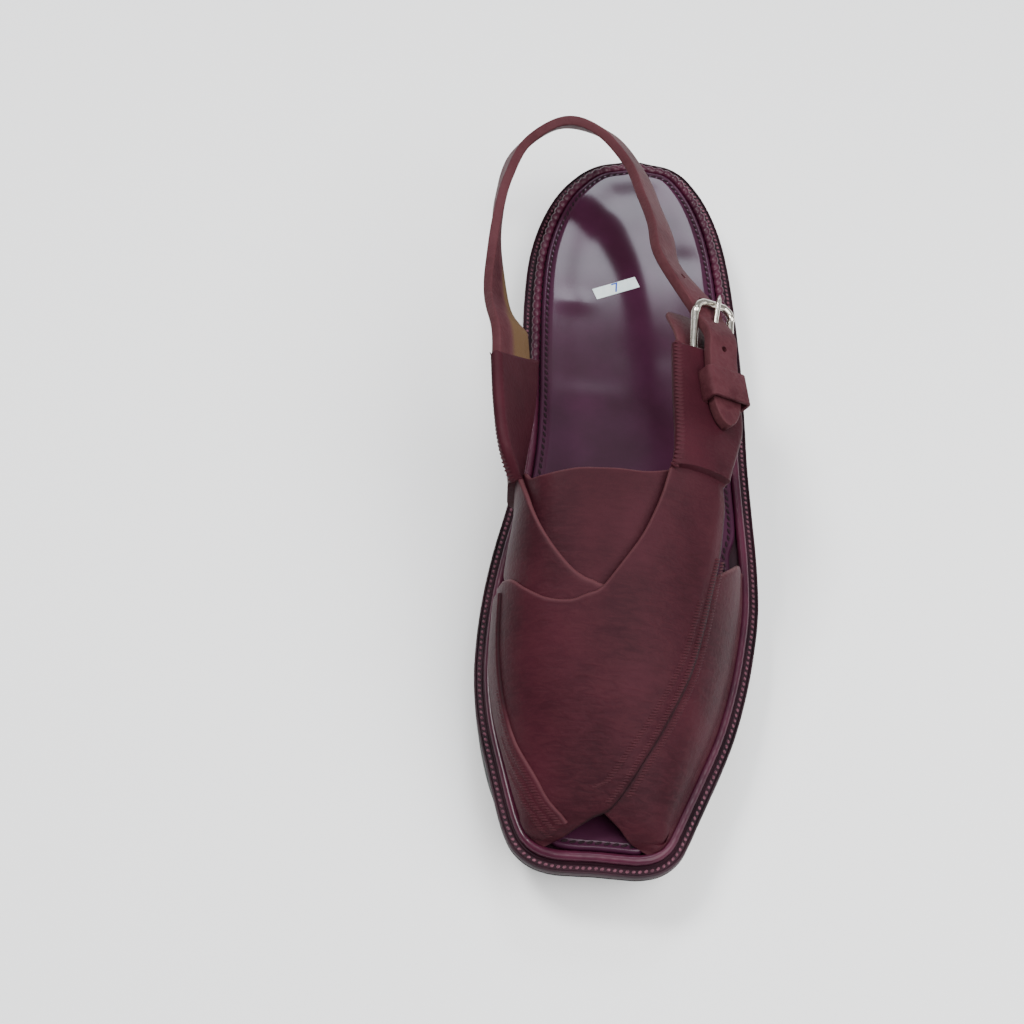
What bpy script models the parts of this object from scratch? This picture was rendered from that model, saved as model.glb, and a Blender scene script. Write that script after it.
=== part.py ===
"""Peshawari chappal, left shoe: a square-toed sandal of two crossing bands on a rubber sole.

The toe points to -Y and the buckle side to +X. The origin is the centre of the heel's tread on
the floor. Lengths are in metres. Tables hold shares of the named sizes below.
"""
import bpy
import bmesh
import math
import numpy as np
from mathutils import Vector

# Driving sizes
LENGTH = 0.288
BALL_WIDTH = 0.0925
HEEL_BACK = 0.040
SOLE_HEIGHT = 0.0200
MIDSOLE_THICKNESS = 0.0035
INSOLE_THICKNESS = 0.0030
TOE_SPRING = 0.0060
TOE_RISE = 0.0042
ARCH_RISE = 0.0028
HEEL_RISE = 0.0020
EDGE_BEVEL = 0.0012
TOE_TUCK = 0.0045
RIM_WIDTH = 0.0034
BEAD_DIAMETER = 0.0031
GAP = 0.0003
INSTEP_HEIGHT = 0.060
WALL = 0.0019
LAP = 0.0012
LAP_RISE = 0.0060
PANEL_STEP = 0.0010
TAB_STEP = 0.0024
TONGUE_WALL = 0.0017
STRAP_WIDTH = 0.0130
STRAP_THICKNESS = 0.0030
KEEPER_LENGTH = 0.0115
KEEPER_WALL = 0.0014
KEEPER_PLACE = 0.0180
TAIL_LENGTH = 0.0330
GUARD_WALL = 0.0014
GUARD_WIDTH = 0.0180
WIRE_DIAMETER = 0.0024
PRONG_DIAMETER = 0.0018
BUCKLE_LENGTH = 0.0190
LEG_SEAT = 0.0040
STRAP_SEAT = 0.48
TOE_CORNER = 0.056

# Mesh counts
SIDE_POINTS = 48
ALONG_BAND = 24
ACROSS_BAND = 12
ARM_ROWS = 8
BEAD_SIDES = 2

TOE_TIP = HEEL_BACK - LENGTH
INSOLE_INSET = RIM_WIDTH + BEAD_DIAMETER + GAP + WALL + 3 * GAP
FEATHER_INSET = RIM_WIDTH + BEAD_DIAMETER + GAP + WALL
INSIDE = np.array([0.0, TOE_TIP + 0.3 * LENGTH, SOLE_HEIGHT])
TAB_THICKNESS = WALL + TAB_STEP
BUCKLE_HALF = STRAP_WIDTH / 2 + 3 * GAP + WIRE_DIAMETER / 2
PLACE_SCALE = np.array([LENGTH, BALL_WIDTH / 2])

# Sole outline: along from the toe (share of LENGTH), medial and lateral edge (shares of BALL_WIDTH)
SOLE_OUTLINE = (
    (0.000, -0.160, 0.145),
    (0.010, -0.247, 0.230),
    (0.028, -0.300, 0.280),
    (0.056, -0.338, 0.318),
    (0.104, -0.386, 0.380),
    (0.156, -0.434, 0.443),
    (0.208, -0.463, 0.487),
    (0.260, -0.470, 0.517),
    (0.318, -0.462, 0.537),
    (0.380, -0.438, 0.534),
    (0.450, -0.399, 0.517),
    (0.520, -0.380, 0.500),
    (0.590, -0.383, 0.489),
    (0.660, -0.395, 0.475),
    (0.744, -0.406, 0.449),
    (0.813, -0.402, 0.422),
    (0.865, -0.377, 0.391),
    (0.907, -0.338, 0.351),
    (0.942, -0.286, 0.302),
    (0.973, -0.208, 0.236),
    (0.990, -0.128, 0.168),
)
HEEL_TIP = 0.015

# Last sections: along, ridge (share of BALL_WIDTH), height (share of INSTEP_HEIGHT),
# squareness of the medial and the lateral side
LAST = (
    (0.030, 0.000, 0.02, 3.6, 3.2),
    (0.042, 0.000, 0.12, 3.6, 3.2),
    (0.058, 0.000, 0.19, 3.4, 3.0),
    (0.085, -0.005, 0.27, 3.2, 2.7),
    (0.120, -0.015, 0.36, 3.0, 2.4),
    (0.180, -0.040, 0.51, 3.0, 2.2),
    (0.285, -0.080, 0.71, 3.1, 2.0),
    (0.340, -0.085, 0.79, 3.6, 2.2),
    (0.400, -0.088, 0.86, 4.5, 2.7),
    (0.450, -0.088, 0.90, 5.0, 3.0),
)
# How far the arms stand out beyond the feather line behind the vamp: share of BALL_WIDTH
LATERAL_SPREAD = 0.065
MEDIAL_SPREAD = 0.045
SPREAD_START = 0.365
SPREAD_END = 0.45

# Band edges on the last: along, then across from -1 at the medial to +1 at the lateral feather line
OUTER_BAND_FRONT = (
    (0.030, -0.42), (0.037, -0.20), (0.046, -0.06), (0.057, 0.01), (0.084, 0.15), (0.123, 0.305),
    (0.160, 0.405), (0.204, 0.49), (0.254, 0.54), (0.300, 0.565), (0.345, 0.58), (0.380, 0.565),
    (0.402, 0.50),
)
OUTER_BAND_REAR = (
    (0.306, -1.00), (0.298, -0.80), (0.287, -0.56), (0.271, -0.385), (0.258, -0.21), (0.256, -0.07),
    (0.264, 0.00), (0.273, 0.048), (0.300, 0.12), (0.332, 0.18), (0.369, 0.212), (0.402, 0.21),
)
OUTER_BAND_SOLE = (
    (0.030, -0.42), (0.030, -0.62), (0.030, -0.82), (0.030, -1.00), (0.046, -1.00), (0.070, -1.00),
    (0.105, -1.00), (0.150, -1.00), (0.205, -1.00), (0.255, -1.00), (0.306, -1.00),
)
INNER_BAND_FRONT = (
    (0.030, 0.44), (0.036, 0.20), (0.045, 0.08), (0.057, 0.00), (0.085, -0.09), (0.130, -0.15),
    (0.190, -0.24), (0.245, -0.42), (0.285, -0.66), (0.315, -0.84), (0.355, -0.93), (0.404, -0.96),
)
INNER_BAND_REAR = (
    (0.366, 1.00), (0.356, 0.85), (0.333, 0.69), (0.312, 0.56), (0.290, 0.38), (0.276, 0.20),
    (0.273, 0.048), (0.284, -0.04), (0.304, -0.14), (0.333, -0.275), (0.367, -0.45), (0.404, -0.68),
)
INNER_BAND_SOLE = (
    (0.030, 0.44), (0.030, 0.62), (0.030, 0.81), (0.030, 1.00), (0.046, 1.00), (0.070, 1.00),
    (0.110, 1.00), (0.170, 1.00), (0.235, 1.00), (0.300, 1.00), (0.366, 1.00),
)
# Folded ends of the bands: front edge then rear edge, each across (share of BALL_WIDTH),
# along (share of LENGTH) and up from the welt (share of INSTEP_HEIGHT)
BUCKLE_TAB = (
    (0.408, 0.474, 0.610, 0.168, 0.438, 0.880),
    (0.410, 0.526, 0.595, 0.168, 0.498, 0.860),
    (0.400, 0.584, 0.580, 0.168, 0.564, 0.840),
)
SLING_TAB = (
    (-0.330, 0.465, 0.360, -0.385, 0.425, 0.820),
    (-0.315, 0.525, 0.430, -0.415, 0.480, 0.850),
    (-0.320, 0.590, 0.480, -0.440, 0.545, 0.860),
)
# Seam panel on the medial side of the vamp: upper edge, then its foot on the feather line
PANEL_TOP = (
    (0.049, -0.155), (0.067, -0.335), (0.087, -0.43), (0.122, -0.59), (0.157, -0.645),
    (0.195, -0.66), (0.240, -0.66), (0.278, -0.66),
)
PANEL_FOOT = (
    (0.036, -0.42), (0.036, -0.93), (0.070, -0.97), (0.125, -0.97), (0.180, -0.97), (0.240, -0.97),
    (0.290, -0.97),
)
TONGUE_TOP = (
    (0.418, -0.76), (0.396, -0.55), (0.390, -0.32), (0.392, -0.12), (0.398, 0.02), (0.398, 0.13),
    (0.404, 0.22), (0.414, 0.30),
)
TONGUE_FRONT = (
    (0.225, -0.50), (0.215, -0.25), (0.213, 0.00), (0.218, 0.18), (0.230, 0.34),
)
# Sling strap's centre line round the heel: across (share of BALL_WIDTH), along (share of LENGTH),
# up from the floor (share of INSTEP_HEIGHT), lean of its upper edge into the loop in degrees
SLING_LINE = (
    (-0.487, 0.645, 0.995, -30.0),
    (-0.518, 0.710, 0.940, -14.0),
    (-0.530, 0.780, 0.880, 0.0),
    (-0.520, 0.850, 0.845, 8.0),
    (-0.462, 0.925, 0.825, 12.0),
    (-0.300, 0.978, 0.820, 14.0),
    (-0.125, 0.960, 0.830, 18.0),
    (0.005, 0.895, 0.860, 24.0),
    (0.073, 0.825, 0.930, 34.0),
    (0.125, 0.765, 1.020, 44.0),
    (0.174, 0.696, 1.085, 52.0),
)
# Strap through the buckle: along from the tab's end and out from the tab's face, as shares of
# BUCKLE_LENGTH and STRAP_THICKNESS
BUCKLE_LINE = (
    (1.00, -0.75),
    (0.72, -0.45),
    (0.40, 0.35),
    (0.12, 0.75),
)


def clear_scene():
    """Remove what a new file holds."""
    for thing in list(bpy.data.objects):
        bpy.data.objects.remove(thing, do_unlink=True)


def new_collection(name):
    """Return a new collection linked to the scene."""
    collection = bpy.data.collections.new(name)
    bpy.context.scene.collection.children.link(collection)
    return collection


def material(name, colour, roughness, metallic=0.0):
    """Return a Principled material."""
    made = bpy.data.materials.new(name)
    made.use_nodes = True
    shader = made.node_tree.nodes["Principled BSDF"]
    shader.inputs["Base Color"].default_value = (*colour, 1.0)
    shader.inputs["Roughness"].default_value = roughness
    shader.inputs["Metallic"].default_value = metallic
    made.diffuse_color = (*colour, 1.0)
    return made


def add_mesh(name, verts, faces, collection, finish):
    """Add a mesh object with its faces turned outwards."""
    mesh = bpy.data.meshes.new(name)
    mesh.from_pydata([tuple(v) for v in verts], [], faces)
    work = bmesh.new()
    work.from_mesh(mesh)
    bmesh.ops.recalc_face_normals(work, faces=work.faces)
    if work.calc_volume(signed=True) < 0:
        bmesh.ops.reverse_faces(work, faces=work.faces)
    work.to_mesh(mesh)
    work.free()
    mesh.materials.append(finish)
    made = bpy.data.objects.new(name, mesh)
    collection.objects.link(made)
    return made


def smooth_line(points, count):
    """Return count points evenly spaced along a Catmull-Rom curve through the given points."""
    p = np.asarray(points, float)
    ends = np.vstack([2 * p[0] - p[1], p, 2 * p[-1] - p[-2]])
    steps = np.linspace(0, 1, 12, endpoint=False)[:, None]
    parts = []
    for i in range(len(p) - 1):
        a, b, c, d = ends[i:i + 4]
        parts.append(0.5 * (2 * b + (c - a) * steps + (2 * a - 5 * b + 4 * c - d) * steps ** 2
                            + (3 * b - a - 3 * c + d) * steps ** 3))
    dense = np.vstack(parts + [p[-1:]])
    return even(dense, count)


def even(line, count):
    """Return count points evenly spaced along a polyline."""
    steps = np.linalg.norm(np.diff(line, axis=0), axis=1)
    travel = np.r_[0, np.cumsum(steps)]
    wanted = np.linspace(0, travel[-1], count)
    return np.stack([np.interp(wanted, travel, line[:, i]) for i in range(line.shape[1])], 1)


def respaced(rows, count):
    """Return count points along table rows, as closely spaced as the rows are."""
    rows = np.asarray(rows, float)
    wanted = np.linspace(0, len(rows) - 1, count)
    return np.stack([np.interp(wanted, np.arange(len(rows)), rows[:, i]) for i in (0, 1)], 1)


def gentle(x, xs, ys):
    """Interpolate smoothly through a table without overshoot."""
    h = np.diff(xs)
    slope = np.diff(ys) / h
    m = np.r_[slope[0], np.zeros(len(xs) - 2), slope[-1]]
    for i in range(1, len(xs) - 1):
        if slope[i - 1] * slope[i] > 0:
            before = 2 * h[i] + h[i - 1]
            after = h[i] + 2 * h[i - 1]
            m[i] = (before + after) / (before / slope[i - 1] + after / slope[i])
    x = np.clip(x, xs[0], xs[-1])
    i = np.clip(np.searchsorted(xs, x, side="right") - 1, 0, len(xs) - 2)
    t = (x - xs[i]) / h[i]
    return ((2 * t ** 3 - 3 * t ** 2 + 1) * ys[i] + (t ** 3 - 2 * t ** 2 + t) * h[i] * m[i]
            + (3 * t ** 2 - 2 * t ** 3) * ys[i + 1] + (t ** 3 - t ** 2) * h[i] * m[i + 1])


def ease(x):
    """Rise smoothly from 0 to 1."""
    x = np.clip(x, 0, 1)
    return x * x * (3 - 2 * x)


def sole_outline():
    """Return the welt's edge as a closed ring: heel tip, medial side, toe, lateral side."""
    rows = np.array(SOLE_OUTLINE)
    y = TOE_TIP + rows[:, 0] * LENGTH
    medial = np.stack([rows[:, 1] * BALL_WIDTH, y], 1)
    lateral = np.stack([rows[:, 2] * BALL_WIDTH, y], 1)
    heel = np.array([[HEEL_TIP * BALL_WIDTH, HEEL_BACK]])
    toe = (medial[:1] + lateral[:1]) / 2
    medial_side = smooth_line(np.vstack([heel, medial[::-1], toe]), SIDE_POINTS + 1)
    lateral_side = smooth_line(np.vstack([toe, lateral, heel]), SIDE_POINTS + 1)
    return np.vstack([medial_side[:-1], lateral_side[:-1]])


def inset_outline(inset):
    """Return the sole outline moved inwards."""
    ring = sole_outline()
    along = np.roll(ring, -1, axis=0) - np.roll(ring, 1, axis=0)
    inward = np.stack([along[:, 1], -along[:, 0]], 1)
    inward /= np.linalg.norm(inward, axis=1)[:, None]
    if ((ring - ring.mean(axis=0)) * inward).sum() > 0:
        inward = -inward
    return ring + inward * np.reshape(inset, (-1, 1))


def share_along(y):
    """Return the place along the sole, 0 at the toe and 1 at the heel."""
    return (y - TOE_TIP) / LENGTH


def tread(y):
    """Height of the tread: flat at heel and forefoot, raised at the arch and the toe."""
    s = share_along(y)
    toe = np.clip((0.22 - s) / 0.22, 0, 1)
    arch = ease((s - 0.45) / 0.08) * ease((0.70 - s) / 0.06)
    return TOE_SPRING * toe ** 1.8 + ARCH_RISE * arch


def welt_top(y):
    """Height of the welt's upper face."""
    s = share_along(y)
    toe = np.clip((0.22 - s) / 0.22, 0, 1)
    return SOLE_HEIGHT + TOE_RISE * toe ** 1.8 + HEEL_RISE * ease((s - 0.45) / 0.35)


def midsole_base(y):
    """Height of the midsole's lower face."""
    return welt_top(y) - MIDSOLE_THICKNESS


def ring_at(inset, height):
    """Return a ring of 3-D points at an inset and a height function."""
    flat = inset_outline(inset)
    return np.column_stack([flat, height(flat[:, 1])])


def stacked(name, rings, collection, finish):
    """Loft closed rings upwards and close both ends with strips from side to side."""
    count = len(rings[0])
    half = count // 2
    verts = np.vstack(rings)
    faces = []
    for k in range(len(rings) - 1):
        for i in range(count):
            j = (i + 1) % count
            faces.append((k * count + i, k * count + j, (k + 1) * count + j, (k + 1) * count + i))
    for base in (0, (len(rings) - 1) * count):
        faces.append((base, base + 1, base + count - 1))
        for i in range(1, half - 1):
            faces.append((base + i, base + i + 1, base + count - i - 1, base + count - i))
        faces.append((base + half - 1, base + half, base + half + 1))
    return add_mesh(name, verts, faces, collection, finish)


def on_ring(places, ring):
    """Return the ring's nearest point to each place in plan, and the ring's inward normal there."""
    span = np.roll(ring, -1, axis=0) - ring
    inward = np.stack([-span[:, 1], span[:, 0]], 1)
    if ((ring.mean(axis=0) - ring) * inward).sum() < 0:
        inward = -inward
    corner = inward + np.roll(inward, 1, axis=0)
    flat = places.reshape(-1, 1, 2)
    share = np.clip(((flat - ring) * span).sum(axis=2) / (span ** 2).sum(axis=1), 0, 1)
    near = ring + share[..., None] * span
    best = np.linalg.norm(flat - near, axis=2).argmin(axis=1)
    pick = np.arange(len(best))
    f = share[pick, best][:, None]
    normal = corner[best] * (1 - f) + np.roll(corner, -1, axis=0)[best] * f
    normal /= np.linalg.norm(normal, axis=1)[:, None]
    return near[pick, best].reshape(places.shape), normal.reshape(places.shape)


def kept_inside(places, ring):
    """Return places in plan, those outside a ring moved to its nearest point."""
    nearest, inward = on_ring(places, ring)
    outside = ((places - nearest) * inward).sum(axis=-1) < 0
    return np.where(outside[..., None], nearest, places)


def last_point(place):
    """Return the point of the last at places (along, across)."""
    s = place[..., 0]
    t = place[..., 1]
    rows = np.array(LAST)
    y = TOE_TIP + s * LENGTH
    ring = inset_outline(FEATHER_INSET)
    medial_side = ring[:SIDE_POINTS + 1][::-1]
    lateral_side = np.vstack([ring[SIDE_POINTS:], ring[:1]])
    spread = ease((s - SPREAD_START) / (SPREAD_END - SPREAD_START)) * BALL_WIDTH
    edge = np.maximum(y, TOE_TIP + TOE_CORNER * LENGTH)
    medial = np.interp(edge, medial_side[:, 1], medial_side[:, 0]) - MEDIAL_SPREAD * spread
    lateral = np.interp(edge, lateral_side[:, 1], lateral_side[:, 0]) + LATERAL_SPREAD * spread
    ridge = gentle(s, rows[:, 0], rows[:, 1]) * BALL_WIDTH
    height = gentle(s, rows[:, 0], rows[:, 2]) * INSTEP_HEIGHT
    power = np.where(t < 0, gentle(s, rows[:, 0], rows[:, 3]), gentle(s, rows[:, 0], rows[:, 4]))
    turn = math.pi / 2 * np.abs(t)
    x = ridge + (np.where(t < 0, medial, lateral) - ridge) * np.abs(np.sin(turn)) ** (2 / power)
    z = welt_top(y) + GAP + height * np.abs(np.cos(turn)) ** (2 / power)
    flat = np.stack([x, y], -1)
    flat = np.where((s < SPREAD_START)[..., None], kept_inside(flat, ring), flat)
    return np.concatenate([flat, z[..., None]], -1)


def coons(front, rear, sole, end, rows, columns):
    """Return a grid of places between four edges; rows run from the sole edge to the band's end."""
    front = smooth_line(front * PLACE_SCALE, rows) / PLACE_SCALE
    rear = smooth_line(rear * PLACE_SCALE, rows) / PLACE_SCALE
    sole = respaced(sole, columns)
    end = respaced(end, columns)
    u = np.linspace(0, 1, rows)[:, None, None]
    v = np.linspace(0, 1, columns)[None, :, None]
    ruled = (1 - v) * front[:, None] + v * rear[:, None] + (1 - u) * sole[None] + u * end[None]
    corners = ((1 - u) * (1 - v) * front[0] + (1 - u) * v * rear[0]
               + u * (1 - v) * front[-1] + u * v * rear[-1])
    return ruled - corners


def tab_rows(grid, table, columns):
    """Continue a band's grid through its folded end."""
    v = np.linspace(0, 1, columns)[:, None]
    rows = []
    for fx, fs, fz, rx, rs, rz in table:
        front = np.array([fx * BALL_WIDTH, TOE_TIP + fs * LENGTH, SOLE_HEIGHT + fz * INSTEP_HEIGHT])
        rear = np.array([rx * BALL_WIDTH, TOE_TIP + rs * LENGTH, SOLE_HEIGHT + rz * INSTEP_HEIGHT])
        rows.append((1 - v) * front + v * rear)
    known = np.stack([grid[-3], grid[-1], *rows])
    columns_of_points = [smooth_line(known[:, j], 3 * ARM_ROWS) for j in range(columns)]
    dense = np.stack(columns_of_points, 1)
    start = np.linalg.norm(dense - grid[-1][None], axis=2).mean(axis=1).argmin()
    picked = np.linspace(start + 2, len(dense) - 1, ARM_ROWS).round().astype(int)
    return dense[picked]


def grid_normals(grid, outwards):
    """Return unit normals of a grid of points, turned the way of the outwards point."""
    du = np.gradient(grid, axis=0)
    dv = np.gradient(grid, axis=1)
    n = np.cross(du, dv)
    n /= np.linalg.norm(n, axis=2)[..., None]
    middle = (grid.shape[0] // 2, grid.shape[1] // 2)
    if n[middle] @ (grid[middle] - outwards) < 0:
        n = -n
    return n


def thick_sheet(name, grid, inner, outer, floor, collection, finish):
    """Close a sheet between two offsets of a grid of points, above the welt where floor is set."""
    n = grid_normals(grid, INSIDE)
    if floor:
        inward = on_ring(grid[..., :2], inset_outline(FEATHER_INSET))[1]
        level = np.concatenate([-inward, np.zeros_like(inward[..., :1])], -1)
        upright = rise_above_welt(grid)[..., None]
        n = n * upright + level * (1 - upright)
        n /= np.linalg.norm(n, axis=2)[..., None]
    low = grid + n * inner[..., None]
    high = grid + n * outer[..., None]
    if floor:
        for side in (low, high):
            side[..., 2] = np.maximum(side[..., 2], welt_top(side[..., 1]) + GAP)
    rows, columns = grid.shape[:2]
    verts = np.vstack([low.reshape(-1, 3), high.reshape(-1, 3)])
    count = rows * columns
    faces = []
    for i in range(rows - 1):
        for j in range(columns - 1):
            a = i * columns + j
            quad = (a, a + 1, a + columns + 1, a + columns)
            faces.append(quad)
            faces.append(tuple(count + k for k in reversed(quad)))
    rim = [j for j in range(columns)]
    rim += [i * columns + columns - 1 for i in range(1, rows)]
    rim += [(rows - 1) * columns + j for j in range(columns - 2, -1, -1)]
    rim += [i * columns for i in range(rows - 2, 0, -1)]
    for k, a in enumerate(rim):
        b = rim[(k + 1) % len(rim)]
        faces.append((a, count + a, count + b, b))
    return add_mesh(name, verts, faces, collection, finish)


def rise_above_welt(grid):
    """Return 0 beside the bead and 1 from the height where the bands lap fully."""
    return ease((grid[..., 2] - welt_top(grid[..., 1]) - BEAD_DIAMETER) / LAP_RISE)


def band_grid(edges, tab, stand_off):
    """Return a band's grid of points and its inner and outer offsets."""
    front, rear, sole = edges
    places = coons(front, rear, sole, (front[-1], rear[-1]), ALONG_BAND, ACROSS_BAND)
    grid = last_point(places)
    inner = stand_off * rise_above_welt(grid)
    outer = inner + WALL
    rows = tab_rows(grid, tab, ACROSS_BAND)
    first = grid[-1] + (rows[0] - grid[-1]) * 0.2
    full = np.concatenate([grid, first[None], rows])
    more = len(full) - len(grid)
    inner = np.concatenate([inner, np.full((more, ACROSS_BAND), stand_off)])
    outer = np.concatenate([outer, np.full((more, ACROSS_BAND), stand_off + WALL + TAB_STEP)])
    return full, inner, outer


def outer_band():
    """Return the grid of the band that ends at the buckle."""
    return band_grid((OUTER_BAND_FRONT, OUTER_BAND_REAR, OUTER_BAND_SOLE), BUCKLE_TAB, LAP)


def inner_band():
    """Return the grid of the band that ends at the sling strap."""
    return band_grid((INNER_BAND_FRONT, INNER_BAND_REAR, INNER_BAND_SOLE), SLING_TAB, 0.0)


def tab_line(sheet, across, height):
    """Return points, width and outward directions along a folded end, last row first."""
    grid, inner, outer = sheet
    n = grid_normals(grid, INSIDE)
    face = grid + n * (inner + (outer - inner) * height)[..., None]
    column = across * (ACROSS_BAND - 1)
    k = int(column)
    f = column - k
    points = (face[:, k] * (1 - f) + face[:, k + 1] * f)[::-1][:ARM_ROWS]
    width = (face[:, -1] - face[:, 0])[::-1][:ARM_ROWS]
    width /= np.linalg.norm(width, axis=1)[:, None]
    outward = (n[:, k] * (1 - f) + n[:, k + 1] * f)[::-1][:ARM_ROWS]
    outward -= width * (outward * width).sum(axis=1)[:, None]
    outward /= np.linalg.norm(outward, axis=1)[:, None]
    return points, width, outward


def buckle_place(along, out, side=0.0):
    """Return a point by the buckle tab: along past its end, out from its face, side towards the
    instep; and the width and outward directions there."""
    points, width, outward = tab_line(outer_band(), STRAP_SEAT, 1.0)
    steps = np.linalg.norm(np.diff(points, axis=0), axis=1)
    travel = np.r_[0, np.cumsum(steps)]
    if along > 0:
        back = points[0] - points[1]
        back /= np.linalg.norm(back)
        base = points[0] + back * along
        w = width[0]
        o = outward[0]
    else:
        base = np.array([np.interp(-along, travel, points[:, i]) for i in range(3)])
        w = np.array([np.interp(-along, travel, width[:, i]) for i in range(3)])
        o = np.array([np.interp(-along, travel, outward[:, i]) for i in range(3)])
        w /= np.linalg.norm(w)
        o /= np.linalg.norm(o)
    return base + o * out + w * side, w, o


def union(target, cutters):
    """Join cutters onto a target with exact Booleans."""
    for cutter in cutters:
        cutter.hide_render = True
        cutter.display_type = "WIRE"
        step = target.modifiers.new("join " + cutter.name, "BOOLEAN")
        step.operation = "UNION"
        step.solver = "EXACT"
        step.object = cutter


def keep_main_shell(target):
    """Apply the modifiers and drop the slivers that joining leaves inside the walls."""
    graph = bpy.context.evaluated_depsgraph_get()
    mesh = bpy.data.meshes.new_from_object(target.evaluated_get(graph))
    work = bmesh.new()
    work.from_mesh(mesh)
    left = set(work.faces)
    shells = []
    while left:
        front = [left.pop()]
        shell = list(front)
        while front:
            for edge in front.pop().edges:
                for face in edge.link_faces:
                    if face in left:
                        left.discard(face)
                        shell.append(face)
                        front.append(face)
        shells.append(shell)
    shells.sort(key=len)
    for shell in shells[:-1]:
        bmesh.ops.delete(work, geom=shell, context="FACES")
    work.to_mesh(mesh)
    work.free()
    target.modifiers.clear()
    target.data = mesh


def make_upper(parts, cutters, finish):
    """Join the two crossing bands and the seam panel in one hollow upper."""
    upper = thick_sheet("upper", *outer_band(), True, parts, finish)
    crossing = thick_sheet("crossing_band", *inner_band(), True, cutters, finish)
    places = coons(PANEL_TOP, PANEL_FOOT, (PANEL_TOP[0], PANEL_FOOT[0]),
                   (PANEL_TOP[-1], PANEL_FOOT[-1]), ALONG_BAND, 6)
    grid = last_point(places)
    rise = rise_above_welt(grid)
    inner = LAP * rise + 0.25 * WALL
    outer = LAP * rise + 0.9 * WALL + (PANEL_STEP + 0.1 * WALL) * ease(rise * 4)
    panel = thick_sheet("seam_panel", grid, inner, outer, True, cutters, finish)
    union(upper, (crossing, panel))
    for side in (-1, 1):
        mouth, seat = leg_points(side)
        hole = rod("leg_seat", seat - (mouth - seat) * 0.1, mouth + (mouth - seat) * 0.2,
                   WIRE_DIAMETER + 2 * GAP, cutters, finish)
        cut(upper, hole)
    keep_main_shell(upper)
    return upper


def cut(target, cutter):
    """Cut a closed mesh out of a target."""
    cutter.hide_render = True
    cutter.display_type = "WIRE"
    step = target.modifiers.new("cut " + cutter.name, "BOOLEAN")
    step.operation = "DIFFERENCE"
    step.solver = "EXACT"
    step.object = cutter


def rod(name, start, end, diameter, collection, finish):
    """Add a cylinder between two points."""
    start = Vector(start)
    end = Vector(end)
    work = bmesh.new()
    bmesh.ops.create_cone(work, cap_ends=True, segments=16, radius1=diameter / 2,
                          radius2=diameter / 2, depth=(end - start).length)
    mesh = bpy.data.meshes.new(name)
    work.to_mesh(mesh)
    work.free()
    mesh.materials.append(finish)
    made = bpy.data.objects.new(name, mesh)
    made.location = (start + end) / 2
    made.rotation_mode = "QUATERNION"
    made.rotation_quaternion = (end - start).to_track_quat("Z", "Y")
    collection.objects.link(made)
    return made


def leg_points(side):
    """Return where a buckle leg leaves the tab's end and where it is seated inside."""
    offset = side * BUCKLE_HALF
    mouth = buckle_place(1e-6, -TAB_THICKNESS / 2, offset)[0]
    seat = mouth - (buckle_place(0.001, 0)[0] - buckle_place(1e-6, 0)[0]) * LEG_SEAT * 1000
    return mouth, seat


def make_tongue(parts, finish):
    """Make the tongue, tucked under the bands."""
    medial = (TONGUE_FRONT[0], (0.30, -0.62), TONGUE_TOP[0])
    lateral = (TONGUE_FRONT[-1], (0.31, 0.36), TONGUE_TOP[-1])
    front = smooth_line(TONGUE_FRONT, ACROSS_BAND)
    top = smooth_line(TONGUE_TOP, ACROSS_BAND)
    places = coons(medial, lateral, front, top, ACROSS_BAND, ACROSS_BAND)
    grid = last_point(places)
    shape = grid.shape[:2]
    inner = np.full(shape, -GAP - TONGUE_WALL)
    outer = np.full(shape, -GAP)
    return thick_sheet("tongue", grid, inner, outer, False, parts, finish)


def make_sole(parts, rubber, welt, lining):
    """Make the outsole, midsole and insole."""
    s = share_along(sole_outline()[:, 1])
    tuck = TOE_TUCK * ease((0.12 - s) / 0.12)

    def upper_rubber(y):
        return midsole_base(y) - GAP

    def lower_edge(y):
        return tread(y) + EDGE_BEVEL

    def midsole_edge(y):
        return welt_top(y) - 0.3 * EDGE_BEVEL

    def insole_base(y):
        return welt_top(y) + GAP

    def insole_edge(y):
        return welt_top(y) + GAP + INSOLE_THICKNESS - 0.6 * EDGE_BEVEL

    def insole_top(y):
        return welt_top(y) + GAP + INSOLE_THICKNESS

    stacked("outsole", [ring_at(EDGE_BEVEL + tuck, tread),
                        ring_at(0.25 * EDGE_BEVEL + 0.9 * tuck, lower_edge),
                        ring_at(0.0, upper_rubber)], parts, rubber)
    stacked("midsole", [ring_at(0.0, midsole_base), ring_at(0.0, midsole_edge),
                        ring_at(0.3 * EDGE_BEVEL, welt_top)], parts, welt)
    stacked("insole", [ring_at(INSOLE_INSET, insole_base), ring_at(INSOLE_INSET, insole_edge),
                       ring_at(INSOLE_INSET + EDGE_BEVEL, insole_top)], parts, lining)


def poly_tube(name, points, diameter, cyclic, collection, finish):
    """Make a round tube along points."""
    curve = bpy.data.curves.new(name, "CURVE")
    curve.dimensions = "3D"
    curve.bevel_depth = diameter / 2
    curve.bevel_resolution = BEAD_SIDES
    curve.use_fill_caps = not cyclic
    spline = curve.splines.new("POLY")
    spline.points.add(len(points) - 1)
    for place, point in zip(spline.points, points):
        place.co = (*point, 1.0)
    spline.use_cyclic_u = cyclic
    curve.materials.append(finish)
    made = bpy.data.objects.new(name, curve)
    collection.objects.link(made)
    return made


def make_bead(parts, finish):
    """Lay the rolled bead on the welt beside the upper."""
    def centre(y):
        return welt_top(y) + GAP + BEAD_DIAMETER / 2

    ring = ring_at(RIM_WIDTH + BEAD_DIAMETER / 2, centre)
    return poly_tube("bead", ring, BEAD_DIAMETER, True, parts, finish)


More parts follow.
